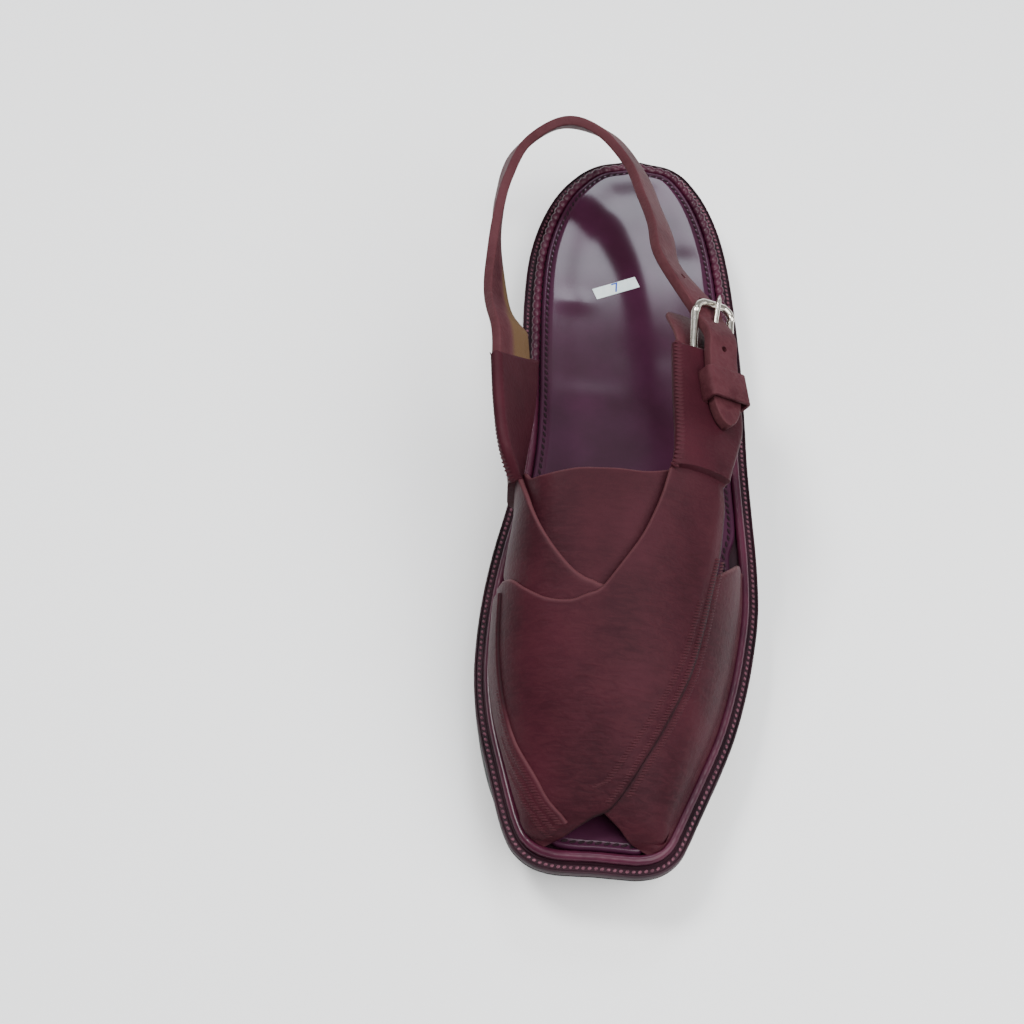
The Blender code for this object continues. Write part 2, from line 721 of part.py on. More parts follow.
def sling_frames(count):
    """Return centres, width directions and face directions along the sling strap."""
    points, width, outward = tab_line(inner_band(), 0.66, 0.5)
    away = points[0] - points[1]
    away /= np.linalg.norm(away)
    rows = [(points[0] + away * 2 * GAP, width[0]), (points[0] + away * 3 * STRAP_THICKNESS, width[0])]
    table = np.array([row[:3] for row in SLING_LINE])
    table = table * (BALL_WIDTH, LENGTH, INSTEP_HEIGHT) + (0, TOE_TIP, 0)
    around = np.gradient(table, axis=0)
    for place, step, row in zip(table, around, SLING_LINE):
        step = step / np.linalg.norm(step)
        inward = np.cross(step, (0, 0, 1.0))
        inward /= np.linalg.norm(inward)
        upward = np.cross(inward, step)
        lean = math.radians(row[3])
        rows.append((place, upward * math.cos(lean) + inward * math.sin(lean)))
    for along, out in BUCKLE_LINE:
        place, w, o = buckle_place(along * BUCKLE_LENGTH, out * STRAP_THICKNESS)
        rows.append((place, w))
    for share in (0.15, 0.4, 0.7, 1.0):
        place, w, o = buckle_place(-share * TAIL_LENGTH, GAP + STRAP_THICKNESS / 2)
        rows.append((place, w))
    line = smooth_line(np.array([np.r_[place, w * 0.02] for place, w in rows]), count)
    centre = line[:, :3]
    along = np.gradient(centre, axis=0)
    along /= np.linalg.norm(along, axis=1)[:, None]
    square = ease(np.arange(count) / 5)
    width = line[:, 3:] - along * ((line[:, 3:] * along).sum(axis=1) * square)[:, None]
    width /= np.linalg.norm(width, axis=1)[:, None]
    face = np.cross(along, width)
    face /= np.linalg.norm(face, axis=1)[:, None]
    return centre, width, face


def strip(name, centre, width, face, half_width, half_thickness, collection, finish):
    """Sweep a flat section with eased edges along frames."""
    ease_edge = 0.35 * half_thickness
    section = ((-1, -1, 1, 0), (1, -1, -1, 0), (1, -1, 0, 1), (1, 1, 0, -1),
               (1, 1, -1, 0), (-1, 1, 1, 0), (-1, 1, 0, -1), (-1, -1, 0, 1))
    verts = []
    for c, w, f in zip(centre, width, face):
        for sw, sf, dw, df in section:
            verts.append(c + w * (sw * half_width + dw * ease_edge)
                         + f * (sf * half_thickness + df * ease_edge))
    sides = len(section)
    faces = []
    for i in range(len(centre) - 1):
        for k in range(sides):
            a = i * sides + k
            b = i * sides + (k + 1) % sides
            faces.append((a, b, b + sides, a + sides))
    faces.append(tuple(range(sides)))
    faces.append(tuple(range((len(centre) - 1) * sides, len(centre) * sides)))
    return add_mesh(name, verts, faces, collection, finish)


def make_sling(parts, cutters, finish):
    """Make the sling strap round the heel, through the buckle to its tail."""
    centre, width, face = sling_frames(64)
    strap = strip("sling_strap", centre, width, face, STRAP_WIDTH / 2, STRAP_THICKNESS / 2,
                  parts, finish)
    start, end = prong_points()
    cut(strap, rod("prong_slot", start, end, PRONG_DIAMETER + 2 * GAP, cutters, finish))
    return strap


def arch_height():
    """Height of the buckle arch's wire centre over the tab's face."""
    return -0.75 * STRAP_THICKNESS + STRAP_THICKNESS / 2 + GAP + WIRE_DIAMETER / 2


def make_buckle(parts, finish):
    """Bend the buckle's wire from one seat in the tab round to the other."""
    half = BUCKLE_HALF
    corner = half * 0.6
    path = []
    for side in (-1, 1):
        mouth, seat = leg_points(side)
        leg = [seat, mouth]
        for along in (0.35, 1 - corner / BUCKLE_LENGTH):
            out = -TAB_THICKNESS / 2 + (arch_height() + TAB_THICKNESS / 2) * along
            leg.append(buckle_place(along * BUCKLE_LENGTH, out, side * half)[0])
        for turn in (20, 40, 60, 80):
            a = math.radians(turn)
            along = BUCKLE_LENGTH - corner + corner * math.sin(a)
            leg.append(buckle_place(along, arch_height(), side * (half - corner * (1 - math.cos(a))))[0])
        path.append(leg)
    points = path[0] + path[1][::-1]
    return poly_tube("buckle_frame", points, WIRE_DIAMETER, False, parts, finish)


def prong_points():
    """Return the prong's root by the tab's end and its tip over the arch."""
    root = buckle_place(GAP + PRONG_DIAMETER / 2, -TAB_THICKNESS / 2)[0]
    over_arch = arch_height() + (WIRE_DIAMETER + PRONG_DIAMETER) / 2 + GAP
    slope = (over_arch + TAB_THICKNESS / 2) / (BUCKLE_LENGTH - WIRE_DIAMETER / 2)
    tip = buckle_place(BUCKLE_LENGTH + WIRE_DIAMETER, over_arch + slope * WIRE_DIAMETER * 1.5)[0]
    return root, tip


def make_prong(parts, finish):
    """Make the prong that goes through the strap and lies on the arch."""
    start, end = prong_points()
    return rod("buckle_prong", start, end, PRONG_DIAMETER, parts, finish)


def make_keeper(parts, finish):
    """Bridge the strap's tail with the keeper, seated on the tab."""
    half = STRAP_WIDTH / 2 + GAP
    height = STRAP_THICKNESS + 2 * GAP
    profile = ((half, GAP), (half, height), (-half, height), (-half, GAP),
               (-half - KEEPER_WALL, GAP), (-half - KEEPER_WALL, height + KEEPER_WALL),
               (half + KEEPER_WALL, height + KEEPER_WALL), (half + KEEPER_WALL, GAP))
    count = len(profile)
    verts = []
    places = np.linspace(KEEPER_PLACE - KEEPER_LENGTH / 2, KEEPER_PLACE + KEEPER_LENGTH / 2, 4)
    for along in places:
        for side, out in profile:
            verts.append(buckle_place(-along, out, side)[0])
    faces = []
    for i in range(len(places) - 1):
        for k in range(count):
            j = (k + 1) % count
            faces.append((i * count + k, i * count + j, (i + 1) * count + j, (i + 1) * count + k))
    for base in (0, (len(places) - 1) * count):
        faces += [(base + 0, base + 1, base + 6, base + 7), (base + 1, base + 2, base + 5, base + 6),
                  (base + 2, base + 3, base + 4, base + 5)]
    return add_mesh("keeper_loop", verts, faces, parts, finish)


def make_guard(parts, finish):
    """Make the thin guard under the buckle, from behind the tab."""
    depth = TAB_THICKNESS + GAP + GUARD_WALL / 2
    rows = [(-0.35, 0.0), (0.0, 0.0), (0.4, -0.7), (0.8, -2.6), (1.15, -5.4), (1.3, -7.0)]
    centre = []
    width = []
    for along, drop in rows:
        place, w, o = buckle_place(along * BUCKLE_LENGTH, drop * GUARD_WALL - depth, 0.0045)
        centre.append(place)
        width.append(w)
    line = smooth_line(np.hstack([centre, np.array(width) * 0.02]), 12)
    centre = line[:, :3]
    along = np.gradient(centre, axis=0)
    width = line[:, 3:] / np.linalg.norm(line[:, 3:], axis=1)[:, None]
    face = np.cross(along, width)
    face /= np.linalg.norm(face, axis=1)[:, None]
    return strip("buckle_guard", centre, width, face, GUARD_WIDTH / 2, GUARD_WALL / 2, parts, finish)


def build():
    """Build every piece."""
    clear_scene()
    parts = new_collection("peshawari_chappal")
    cutters = new_collection("cutters")
    leather = material("burgundy_leather", (0.085, 0.022, 0.024), 0.5)
    lining = material("plum_lining", (0.090, 0.030, 0.060), 0.3)
    welt = material("plum_welt", (0.045, 0.018, 0.030), 0.5)
    nickel = material("polished_nickel", (0.62, 0.60, 0.57), 0.22, 1.0)
    rubber = material("black_rubber", (0.010, 0.014, 0.014), 0.6)
    make_sole(parts, rubber, welt, lining)
    make_bead(parts, lining)
    make_upper(parts, cutters, leather)
    make_tongue(parts, leather)
    make_sling(parts, cutters, leather)
    make_buckle(parts, nickel)
    make_prong(parts, nickel)
    make_keeper(parts, leather)
    make_guard(parts, leather)


build()
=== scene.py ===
import math
import bpy
import bmesh
import numpy as np
from mathutils import Matrix, Vector


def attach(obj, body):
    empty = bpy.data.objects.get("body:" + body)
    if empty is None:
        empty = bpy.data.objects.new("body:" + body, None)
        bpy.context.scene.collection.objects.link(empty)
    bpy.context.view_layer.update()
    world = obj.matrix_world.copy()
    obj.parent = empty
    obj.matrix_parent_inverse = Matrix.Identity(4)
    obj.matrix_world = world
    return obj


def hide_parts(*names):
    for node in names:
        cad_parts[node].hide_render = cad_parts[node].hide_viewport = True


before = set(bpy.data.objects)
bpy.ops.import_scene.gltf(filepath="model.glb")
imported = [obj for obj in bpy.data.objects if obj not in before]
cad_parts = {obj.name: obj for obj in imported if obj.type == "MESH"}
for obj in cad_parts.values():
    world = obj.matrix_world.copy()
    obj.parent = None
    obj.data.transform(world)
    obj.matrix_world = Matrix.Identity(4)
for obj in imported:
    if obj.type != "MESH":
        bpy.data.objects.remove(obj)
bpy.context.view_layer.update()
print("stage: solids loaded")

# The sizes of the shoe's form, in metres, as in the solids
shoe = {
    "length": 0.288,
    "ballWidth": 0.0925,
    "heelBack": 0.040,
    "soleHeight": 0.0200,
    "midsoleThickness": 0.0035,
    "insoleThickness": 0.0030,
    "toeSpring": 0.0060,
    "toeRise": 0.0042,
    "archRise": 0.0028,
    "heelRise": 0.0020,
    "edgeBevel": 0.0012,
    "toeTuck": 0.0045,
    "rimWidth": 0.0034,
    "beadDiameter": 0.0031,
    "gap": 0.0003,
    "instepHeight": 0.060,
    "toeCorner": 0.056,
    "wall": 0.0019,
    "lap": 0.0012,
    "lapRise": 0.0060,
}
toeTip = shoe["heelBack"] - shoe["length"]
featherInset = shoe["rimWidth"] + shoe["beadDiameter"] + shoe["gap"] + shoe["wall"]
insoleInset = featherInset + 3 * shoe["gap"]
placeScale = np.array([shoe["length"], shoe["ballWidth"] / 2])
insidePoint = np.array([0.0, toeTip + 0.3 * shoe["length"], shoe["soleHeight"]])

# Sole outline: along from the toe, medial edge, lateral edge
soleOutline = (
    (0.000, -0.160, 0.145), (0.010, -0.247, 0.230), (0.028, -0.300, 0.280), (0.056, -0.338, 0.318),
    (0.104, -0.386, 0.380), (0.156, -0.434, 0.443), (0.208, -0.463, 0.487), (0.260, -0.470, 0.517),
    (0.318, -0.462, 0.537), (0.380, -0.438, 0.534), (0.450, -0.399, 0.517), (0.520, -0.380, 0.500),
    (0.590, -0.383, 0.489), (0.660, -0.395, 0.475), (0.744, -0.406, 0.449), (0.813, -0.402, 0.422),
    (0.865, -0.377, 0.391), (0.907, -0.338, 0.351), (0.942, -0.286, 0.302), (0.973, -0.208, 0.236),
    (0.990, -0.128, 0.168),
)
heelTip = 0.015
# Last sections: along, ridge, height, squareness of the medial and lateral side
lastSections = (
    (0.030, 0.000, 0.02, 3.6, 3.2), (0.042, 0.000, 0.12, 3.6, 3.2), (0.058, 0.000, 0.19, 3.4, 3.0),
    (0.085, -0.005, 0.27, 3.2, 2.7), (0.120, -0.015, 0.36, 3.0, 2.4), (0.180, -0.040, 0.51, 3.0, 2.2),
    (0.285, -0.080, 0.71, 3.1, 2.0), (0.340, -0.085, 0.79, 3.6, 2.2), (0.400, -0.088, 0.86, 4.5, 2.7),
    (0.450, -0.088, 0.90, 5.0, 3.0),
)
armSpread = {"medial": 0.045, "lateral": 0.065, "start": 0.365, "end": 0.45}
coarsePoints = 48
fineSteps = 4


def easeUp(x):
    x = np.clip(x, 0, 1)
    return x * x * (3 - 2 * x)


def evenLine(line, count):
    steps = np.linalg.norm(np.diff(line, axis=0), axis=1)
    travel = np.r_[0, np.cumsum(steps)]
    wanted = np.linspace(0, travel[-1], count)
    return np.stack([np.interp(wanted, travel, line[:, i]) for i in range(line.shape[1])], 1)


def catmullRom(a, b, c, d, t):
    # between b and c, with a before and d after them
    return 0.5 * (2 * b + (c - a) * t + (2 * a - 5 * b + 4 * c - d) * t ** 2
                  + (3 * b - a - 3 * c + d) * t ** 3)


def smoothLine(points, count, steps=12):
    # evenly spaced points on a smooth curve through the given ones
    p = np.asarray(points, float)
    ends = np.vstack([2 * p[0] - p[1], p, 2 * p[-1] - p[-2]])
    t = np.linspace(0, 1, steps, endpoint=False)[:, None]
    parts = [catmullRom(*ends[i:i + 4], t) for i in range(len(p) - 1)]
    return evenLine(np.vstack(parts + [p[-1:]]), count)


def closedSmooth(ring, steps):
    # the same points of a ring with smooth ones between them
    t = np.linspace(0, 1, steps, endpoint=False)[:, None, None]
    dense = catmullRom(*[np.roll(ring, shift, axis=0)[None] for shift in (1, 0, -1, -2)], t)
    return dense.transpose(1, 0, 2).reshape(-1, ring.shape[1])


def gentleCurve(x, xs, ys):
    # smooth interpolation without overshoot
    h = np.diff(xs)
    slope = np.diff(ys) / h
    m = np.r_[slope[0], np.zeros(len(xs) - 2), slope[-1]]
    for i in range(1, len(xs) - 1):
        if slope[i - 1] * slope[i] > 0:
            before = 2 * h[i] + h[i - 1]
            after = h[i] + 2 * h[i - 1]
            m[i] = (before + after) / (before / slope[i - 1] + after / slope[i])
    x = np.clip(x, xs[0], xs[-1])
    i = np.clip(np.searchsorted(xs, x, side="right") - 1, 0, len(xs) - 2)
    t = (x - xs[i]) / h[i]
    return ((2 * t ** 3 - 3 * t ** 2 + 1) * ys[i] + (t ** 3 - 2 * t ** 2 + t) * h[i] * m[i]
            + (3 * t ** 2 - 2 * t ** 3) * ys[i + 1] + (t ** 3 - t ** 2) * h[i] * m[i + 1])


def coarseRing(inset):
    rows = np.array(soleOutline)
    y = toeTip + rows[:, 0] * shoe["length"]
    medial = np.stack([rows[:, 1] * shoe["ballWidth"], y], 1)
    lateral = np.stack([rows[:, 2] * shoe["ballWidth"], y], 1)
    heel = np.array([[heelTip * shoe["ballWidth"], shoe["heelBack"]]])
    toe = (medial[:1] + lateral[:1]) / 2
    medialSide = smoothLine(np.vstack([heel, medial[::-1], toe]), coarsePoints + 1)
    lateralSide = smoothLine(np.vstack([toe, lateral, heel]), coarsePoints + 1)
    ring = np.vstack([medialSide[:-1], lateralSide[:-1]])
    along = np.roll(ring, -1, axis=0) - np.roll(ring, 1, axis=0)
    inward = np.stack([along[:, 1], -along[:, 0]], 1)
    inward /= np.linalg.norm(inward, axis=1)[:, None]
    if ((ring - ring.mean(axis=0)) * inward).sum() > 0:
        inward = -inward
    return ring + inward * np.reshape(inset, (-1, 1))


def fineRing(inset):
    return closedSmooth(coarseRing(inset), fineSteps)


def weltTop(y):
    s = (y - toeTip) / shoe["length"]
    toe = np.clip((0.22 - s) / 0.22, 0, 1)
    heel = easeUp((s - 0.45) / 0.35)
    return shoe["soleHeight"] + shoe["toeRise"] * toe ** 1.8 + shoe["heelRise"] * heel


def treadHeight(y):
    s = (y - toeTip) / shoe["length"]
    toe = np.clip((0.22 - s) / 0.22, 0, 1)
    arch = easeUp((s - 0.45) / 0.08) * easeUp((0.70 - s) / 0.06)
    return shoe["toeSpring"] * toe ** 1.8 + shoe["archRise"] * arch


def nearRing(places, ring):
    # nearest point of the ring in plan, and the inward direction there
    span = np.roll(ring, -1, axis=0) - ring
    inward = np.stack([-span[:, 1], span[:, 0]], 1)
    if ((ring.mean(axis=0) - ring) * inward).sum() < 0:
        inward = -inward
    corner = inward + np.roll(inward, 1, axis=0)
    flat = places.reshape(-1, 1, 2)
    share = np.clip(((flat - ring) * span).sum(axis=2) / (span ** 2).sum(axis=1), 0, 1)
    near = ring + share[..., None] * span
    best = np.linalg.norm(flat - near, axis=2).argmin(axis=1)
    pick = np.arange(len(best))
    f = share[pick, best][:, None]
    normal = corner[best] * (1 - f) + np.roll(corner, -1, axis=0)[best] * f
    normal /= np.linalg.norm(normal, axis=1)[:, None]
    return near[pick, best].reshape(places.shape), normal.reshape(places.shape)


featherRing = fineRing(featherInset)
featherHalf = coarsePoints * fineSteps
medialFeather = featherRing[:featherHalf + 1][::-1]
lateralFeather = np.vstack([featherRing[featherHalf:], featherRing[:1]])


def lastPoint(place):
    # point of the last at (along, across)
    s = place[..., 0]
    t = place[..., 1]
    rows = np.array(lastSections)
    y = toeTip + s * shoe["length"]
    armShare = (s - armSpread["start"]) / (armSpread["end"] - armSpread["start"])
    spread = easeUp(armShare) * shoe["ballWidth"]
    edge = np.maximum(y, toeTip + shoe["toeCorner"] * shoe["length"])
    medial = np.interp(edge, medialFeather[:, 1], medialFeather[:, 0]) - armSpread["medial"] * spread
    lateral = np.interp(edge, lateralFeather[:, 1], lateralFeather[:, 0]) + armSpread["lateral"] * spread
    ridge = gentleCurve(s, rows[:, 0], rows[:, 1]) * shoe["ballWidth"]
    height = gentleCurve(s, rows[:, 0], rows[:, 2]) * shoe["instepHeight"]
    power = np.where(t < 0, gentleCurve(s, rows[:, 0], rows[:, 3]),
                     gentleCurve(s, rows[:, 0], rows[:, 4]))
    turn = math.pi / 2 * np.abs(t)
    x = ridge + (np.where(t < 0, medial, lateral) - ridge) * np.abs(np.sin(turn)) ** (2 / power)
    z = weltTop(y) + shoe["gap"] + height * np.abs(np.cos(turn)) ** (2 / power)
    flat = np.stack([x, y], -1)
    nearest, inward = nearRing(flat, featherRing)
    outside = ((flat - nearest) * inward).sum(axis=-1) < 0
    flat = np.where((outside & (s < armSpread["start"]))[..., None], nearest, flat)
    return np.concatenate([flat, z[..., None]], -1)


def lastNormal(place):
    # outward direction of the last at (along, across)
    ds = lastPoint(place + (0.002, 0)) - lastPoint(place - (0.002, 0))
    dt = lastPoint(place + (0, 0.01)) - lastPoint(place - (0, 0.01))
    n = np.cross(ds, dt)
    n /= np.linalg.norm(n, axis=-1)[..., None] + 1e-12
    out = (n * (lastPoint(place) - insidePoint)).sum(axis=-1) < 0
    return np.where(out[..., None], -n, n)


def riseAboveWelt(points):
    return easeUp((points[..., 2] - weltTop(points[..., 1]) - shoe["beadDiameter"]) / shoe["lapRise"])


print("stage: form of the last ready")


# Materials
def linearColour(hexText):
    values = [int(hexText[i:i + 2], 16) / 255 for i in (0, 2, 4)]
    return tuple(v / 12.92 if v <= 0.04045 else ((v + 0.055) / 1.055) ** 2.4 for v in values) + (1.0,)


def addNode(tree, kind, settings=None, links=None):
    node = tree.nodes.new(kind)
    for key, value in (settings or {}).items():
        if key in node.inputs:
            node.inputs[key].default_value = value
        else:
            setattr(node, key, value)
    for key, source in (links or {}).items():
        tree.links.new(source, node.inputs[key])
    return node


def newMaterial(name, settings):
    made = bpy.data.materials.new(name)
    made.use_nodes = True
    shader = made.node_tree.nodes["Principled BSDF"]
    for key, value in settings.items():
        shader.inputs[key].default_value = value
    return made, made.node_tree, shader


def mixedColour(tree, factor, first, second):
    mix = addNode(tree, "ShaderNodeMix", {"data_type": "RGBA"})
    tree.links.new(factor, mix.inputs[0])
    for socket, value in ((mix.inputs[6], first), (mix.inputs[7], second)):
        if isinstance(value, str):
            socket.default_value = linearColour(value)
        else:
            tree.links.new(value, socket)
    return mix.outputs[2]


def scaledRange(tree, value, low, high, toLow=0.0, toHigh=1.0):
    return addNode(tree, "ShaderNodeMapRange", {"From Min": low, "From Max": high, "To Min": toLow,
                                                "To Max": toHigh}, {"Value": value}).outputs["Result"]


# Chrome-tanned cow leather, milled and pigment finished: a fine pebble, soft creases, a satin top coat
def grainLeather(name, look):
    made, tree, shader = newMaterial(name, {
        "Roughness": look["roughness"], "IOR": 1.47, "Coat Weight": look["coat"],
        "Coat Roughness": 0.28, "Specular IOR Level": look["specular"]})
    place = addNode(tree, "ShaderNodeTexCoord").outputs["Object"]
    # pebbles of 0.9 mm are drawn at 1.3 mm, and their pits at 0.5 mm, to show at this distance
    pebble = addNode(tree, "ShaderNodeTexVoronoi",
                     {"feature": "SMOOTH_F1", "Scale": 760, "Smoothness": 0.6},
                     {"Vector": place}).outputs["Distance"]
    pits = addNode(tree, "ShaderNodeTexNoise", {"Scale": 1900, "Detail": 3},
                   {"Vector": place}).outputs["Fac"]
    stretched = addNode(tree, "ShaderNodeMapping", {"Scale": look["creaseScale"]}, {"Vector": place})
    crease = addNode(tree, "ShaderNodeTexNoise", {"Scale": 1.0, "Detail": 4, "Roughness": 0.62,
                                                  "Distortion": 0.9},
                     {"Vector": stretched.outputs["Vector"]}).outputs["Fac"]
    if look["creaseFrom"]:
        # creases gather over the toes, where the foot bends the leather
        far, near = look["creaseFrom"]
        y = addNode(tree, "ShaderNodeSeparateXYZ", links={"Vector": place}).outputs["Y"]
        gather = scaledRange(tree, y, far, near, 0.12, 1.0)
        centred = addNode(tree, "ShaderNodeMath", {"operation": "SUBTRACT"})
        tree.links.new(crease, centred.inputs[0])
        centred.inputs[1].default_value = 0.5
        crease = addNode(tree, "ShaderNodeMath", {"operation": "MULTIPLY_ADD"})
        tree.links.new(centred.outputs[0], crease.inputs[0])
        tree.links.new(gather, crease.inputs[1])
        crease.inputs[2].default_value = 0.5
        crease = crease.outputs[0]
    mottle = addNode(tree, "ShaderNodeTexNoise", {"Scale": 38, "Detail": 3},
                     {"Vector": place}).outputs["Fac"]
    colour = mixedColour(tree, scaledRange(tree, mottle, 0.35, 0.68), look["dark"], look["light"])
    colour = mixedColour(tree, scaledRange(tree, crease, 0.40, 0.62, 0.0, 0.35), colour, look["crease"])
    # edgeTone: up to one, pale cut edges that are partly painted highlight; below zero, painted shadow
    # where one band's edge lies on another
    edge = addNode(tree, "ShaderNodeAttribute", {"attribute_name": "edgeTone"}).outputs["Fac"]
    colour = mixedColour(tree, scaledRange(tree, edge, 0.0, 1.0), colour, look["edge"])
    colour = mixedColour(tree, scaledRange(tree, edge, 0.0, -1.0), colour, look["seam"])
    if "flesh" in look:
        # the raw inner side shows where the attribute passes one
        colour = mixedColour(tree, scaledRange(tree, edge, 1.0, 2.0), colour, look["flesh"])
    tree.links.new(colour, shader.inputs["Base Color"])
    first = addNode(tree, "ShaderNodeBump", {"Strength": look["creaseDepth"], "Distance": 0.0006},
                    {"Height": crease})
    second = addNode(tree, "ShaderNodeBump", {"Strength": look["grainDepth"], "Distance": 0.0003},
                     {"Height": pebble, "Normal": first.outputs["Normal"]})
    third = addNode(tree, "ShaderNodeBump", {"Strength": look["grainDepth"] * 0.6, "Distance": 0.0002},
                    {"Height": pits, "Normal": second.outputs["Normal"]})
    tree.links.new(third.outputs["Normal"], shader.inputs["Normal"])
    return made


# Glazed lining leather: smooth, a hard glossy coat over a plum stain, faint ripples from pasting
def glazedLeather(name, look):
    made, tree, shader = newMaterial(name, {
        "Roughness": look["roughness"], "IOR": 1.5, "Coat Weight": look["coat"],
        "Coat Roughness": look["coatRoughness"], "Specular IOR Level": look["specular"]})
    place = addNode(tree, "ShaderNodeTexCoord").outputs["Object"]
    mottle = addNode(tree, "ShaderNodeTexNoise", {"Scale": 55, "Detail": 4},
                     {"Vector": place}).outputs["Fac"]
    colour = mixedColour(tree, scaledRange(tree, mottle, 0.35, 0.65), look["dark"], look["light"])
    tree.links.new(colour, shader.inputs["Base Color"])
    ripple = addNode(tree, "ShaderNodeTexNoise", {"Scale": 42, "Detail": 2},
                     {"Vector": place}).outputs["Fac"]
    grain = addNode(tree, "ShaderNodeTexNoise", {"Scale": 900, "Detail": 3},
                    {"Vector": place}).outputs["Fac"]
    first = addNode(tree, "ShaderNodeBump", {"Strength": look["ripple"], "Distance": 0.002},
                    {"Height": ripple})
    second = addNode(tree, "ShaderNodeBump", {"Strength": look["grain"], "Distance": 0.0003},
                     {"Height": grain, "Normal": first.outputs["Normal"]})
    tree.links.new(second.outputs["Normal"], shader.inputs["Normal"])
    return made


# One plain finish with a fine texture: moulded rubber, thread, paper, ink, plated wire
def plainFinish(name, look):
    made, tree, shader = newMaterial(name, {
        "Roughness": look["roughness"], "Metallic": look.get("metallic", 0.0),
        "IOR": look.get("ior", 1.5), "Specular IOR Level": look.get("specular", 0.22)})
    place = addNode(tree, "ShaderNodeTexCoord").outputs["Object"]
    noise = addNode(tree, "ShaderNodeTexNoise", {"Scale": look["scale"], "Detail": 3},
                    {"Vector": place}).outputs["Fac"]
    colour = mixedColour(tree, scaledRange(tree, noise, 0.35, 0.65), look["dark"], look["light"])
    tree.links.new(colour, shader.inputs["Base Color"])
    bump = addNode(tree, "ShaderNodeBump", {"Strength": look["depth"], "Distance": 0.0003},
                   {"Height": noise})
    tree.links.new(bump.outputs["Normal"], shader.inputs["Normal"])
    return made


finishes = {
    "vamp": {"dark": "260A12", "light": "36131C", "crease": "3C1920", "edge": "4A2A2E", "seam": "14060A",
             "roughness": 0.56, "coat": 0.0, "specular": 0.09, "creaseScale": (170, 620, 300),
             "creaseFrom": (-0.10, -0.20), "creaseDepth": 0.4, "grainDepth": 0.26},
    "strap": {"dark": "36171D", "light": "48252B", "crease": "4B2B2F", "edge": "482A2D",
              "seam": "140808", "flesh": "54402C",
              "roughness": 0.6, "coat": 0.0, "specular": 0.08, "creaseScale": (300, 300, 300),
              "creaseFrom": None, "creaseDepth": 0.25, "grainDepth": 0.35},
    "insole": {"dark": "2C0E20", "light": "341228", "roughness": 0.5,
               "coat": 0.36, "coatRoughness": 0.15,
               "specular": 0.08, "ripple": 0.35, "grain": 0.10},
    "bead": {"dark": "2C0A1B", "light": "411428", "roughness": 0.42, "coat": 0.22, "coatRoughness": 0.2,
             "specular": 0.14, "ripple": 0.3, "grain": 0.2},
    "welt": {"dark": "170910", "light": "28111B", "roughness": 0.5, "coat": 0.03, "coatRoughness": 0.3,
             "specular": 0.12, "ripple": 0.2, "grain": 0.3},
    "rubber": {"dark": "070A0A", "light": "0E1313", "roughness": 0.6, "scale": 700, "depth": 0.25},
    "weltThread": {"dark": "442430", "light": "6B434F", "roughness": 0.7, "scale": 1500, "depth": 0.3},
    "plumThread": {"dark": "12060C", "light": "200B15", "roughness": 0.9, "scale": 1500, "depth": 0.3},
    "paper": {"dark": "C8D6D8", "light": "D6E0E0", "roughness": 0.8, "scale": 400, "depth": 0.05},
    "ink": {"dark": "1E3C96", "light": "2A4CB0", "roughness": 0.7, "scale": 400, "depth": 0.0},
    "nickel": {"dark": "B9B4AA", "light": "CFCAC0", "roughness": 0.22, "metallic": 1.0, "scale": 600,
               "depth": 0.05},
}
vampLeather = grainLeather("milled_burgundy_cow_leather", finishes["vamp"])
strapLeather = grainLeather("waxed_burgundy_strap_leather", finishes["strap"])
insoleLeather = glazedLeather("glazed_plum_lining_leather", finishes["insole"])
beadLeather = glazedLeather("glazed_plum_rolled_leather", finishes["bead"])
weltBoard = glazedLeather("burnished_plum_welt_board", finishes["welt"])
treadRubber = plainFinish("moulded_black_rubber", finishes["rubber"])
paleThread = plainFinish("waxed_grey_pink_thread", finishes["weltThread"])
plumThread = plainFinish("waxed_plum_thread", finishes["plumThread"])
labelPaper = plainFinish("matt_label_paper", finishes["paper"])
labelInk = plainFinish("blue_label_ink", finishes["ink"])
nickelPlate = plainFinish("polished_nickel_plate", finishes["nickel"])
print("stage: materials ready")


# Pieces
def addPiece(name, verts, faces, finish, replaced=None, tone=None, smoothAngle=50):
    # edgeTone: painted shadow below zero, pale cut edges with painted highlight up to one, raw flesh
    # side up to two
    mesh = bpy.data.meshes.new(name)
    mesh.from_pydata([tuple(v) for v in verts], [], faces)
    work = bmesh.new()
    work.from_mesh(mesh)
    bmesh.ops.recalc_face_normals(work, faces=work.faces)
    if work.calc_volume(signed=True) < 0:
        bmesh.ops.reverse_faces(work, faces=work.faces)
    work.to_mesh(mesh)
    work.free()
    mesh.materials.append(finish)
    if tone is not None:
        layer = mesh.attributes.new("edgeTone", "FLOAT", "POINT")
        layer.data.foreach_set("value", np.asarray(tone, float).ravel())
    piece = bpy.data.objects.new(name, mesh)
    bpy.context.scene.collection.objects.link(piece)
    mesh.shade_smooth()
    mesh.set_sharp_from_angle(angle=math.radians(smoothAngle))
    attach(piece, "root")
    if replaced:
        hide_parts(replaced)
    return piece


def gridFaces(rows, columns, offset=0, flipped=False):
    faces = []
    for i in range(rows - 1):
        for j in range(columns - 1):
            a = offset + i * columns + j
            quad = (a, a + 1, a + columns + 1, a + columns)
            faces.append(quad[::-1] if flipped else quad)
    return faces


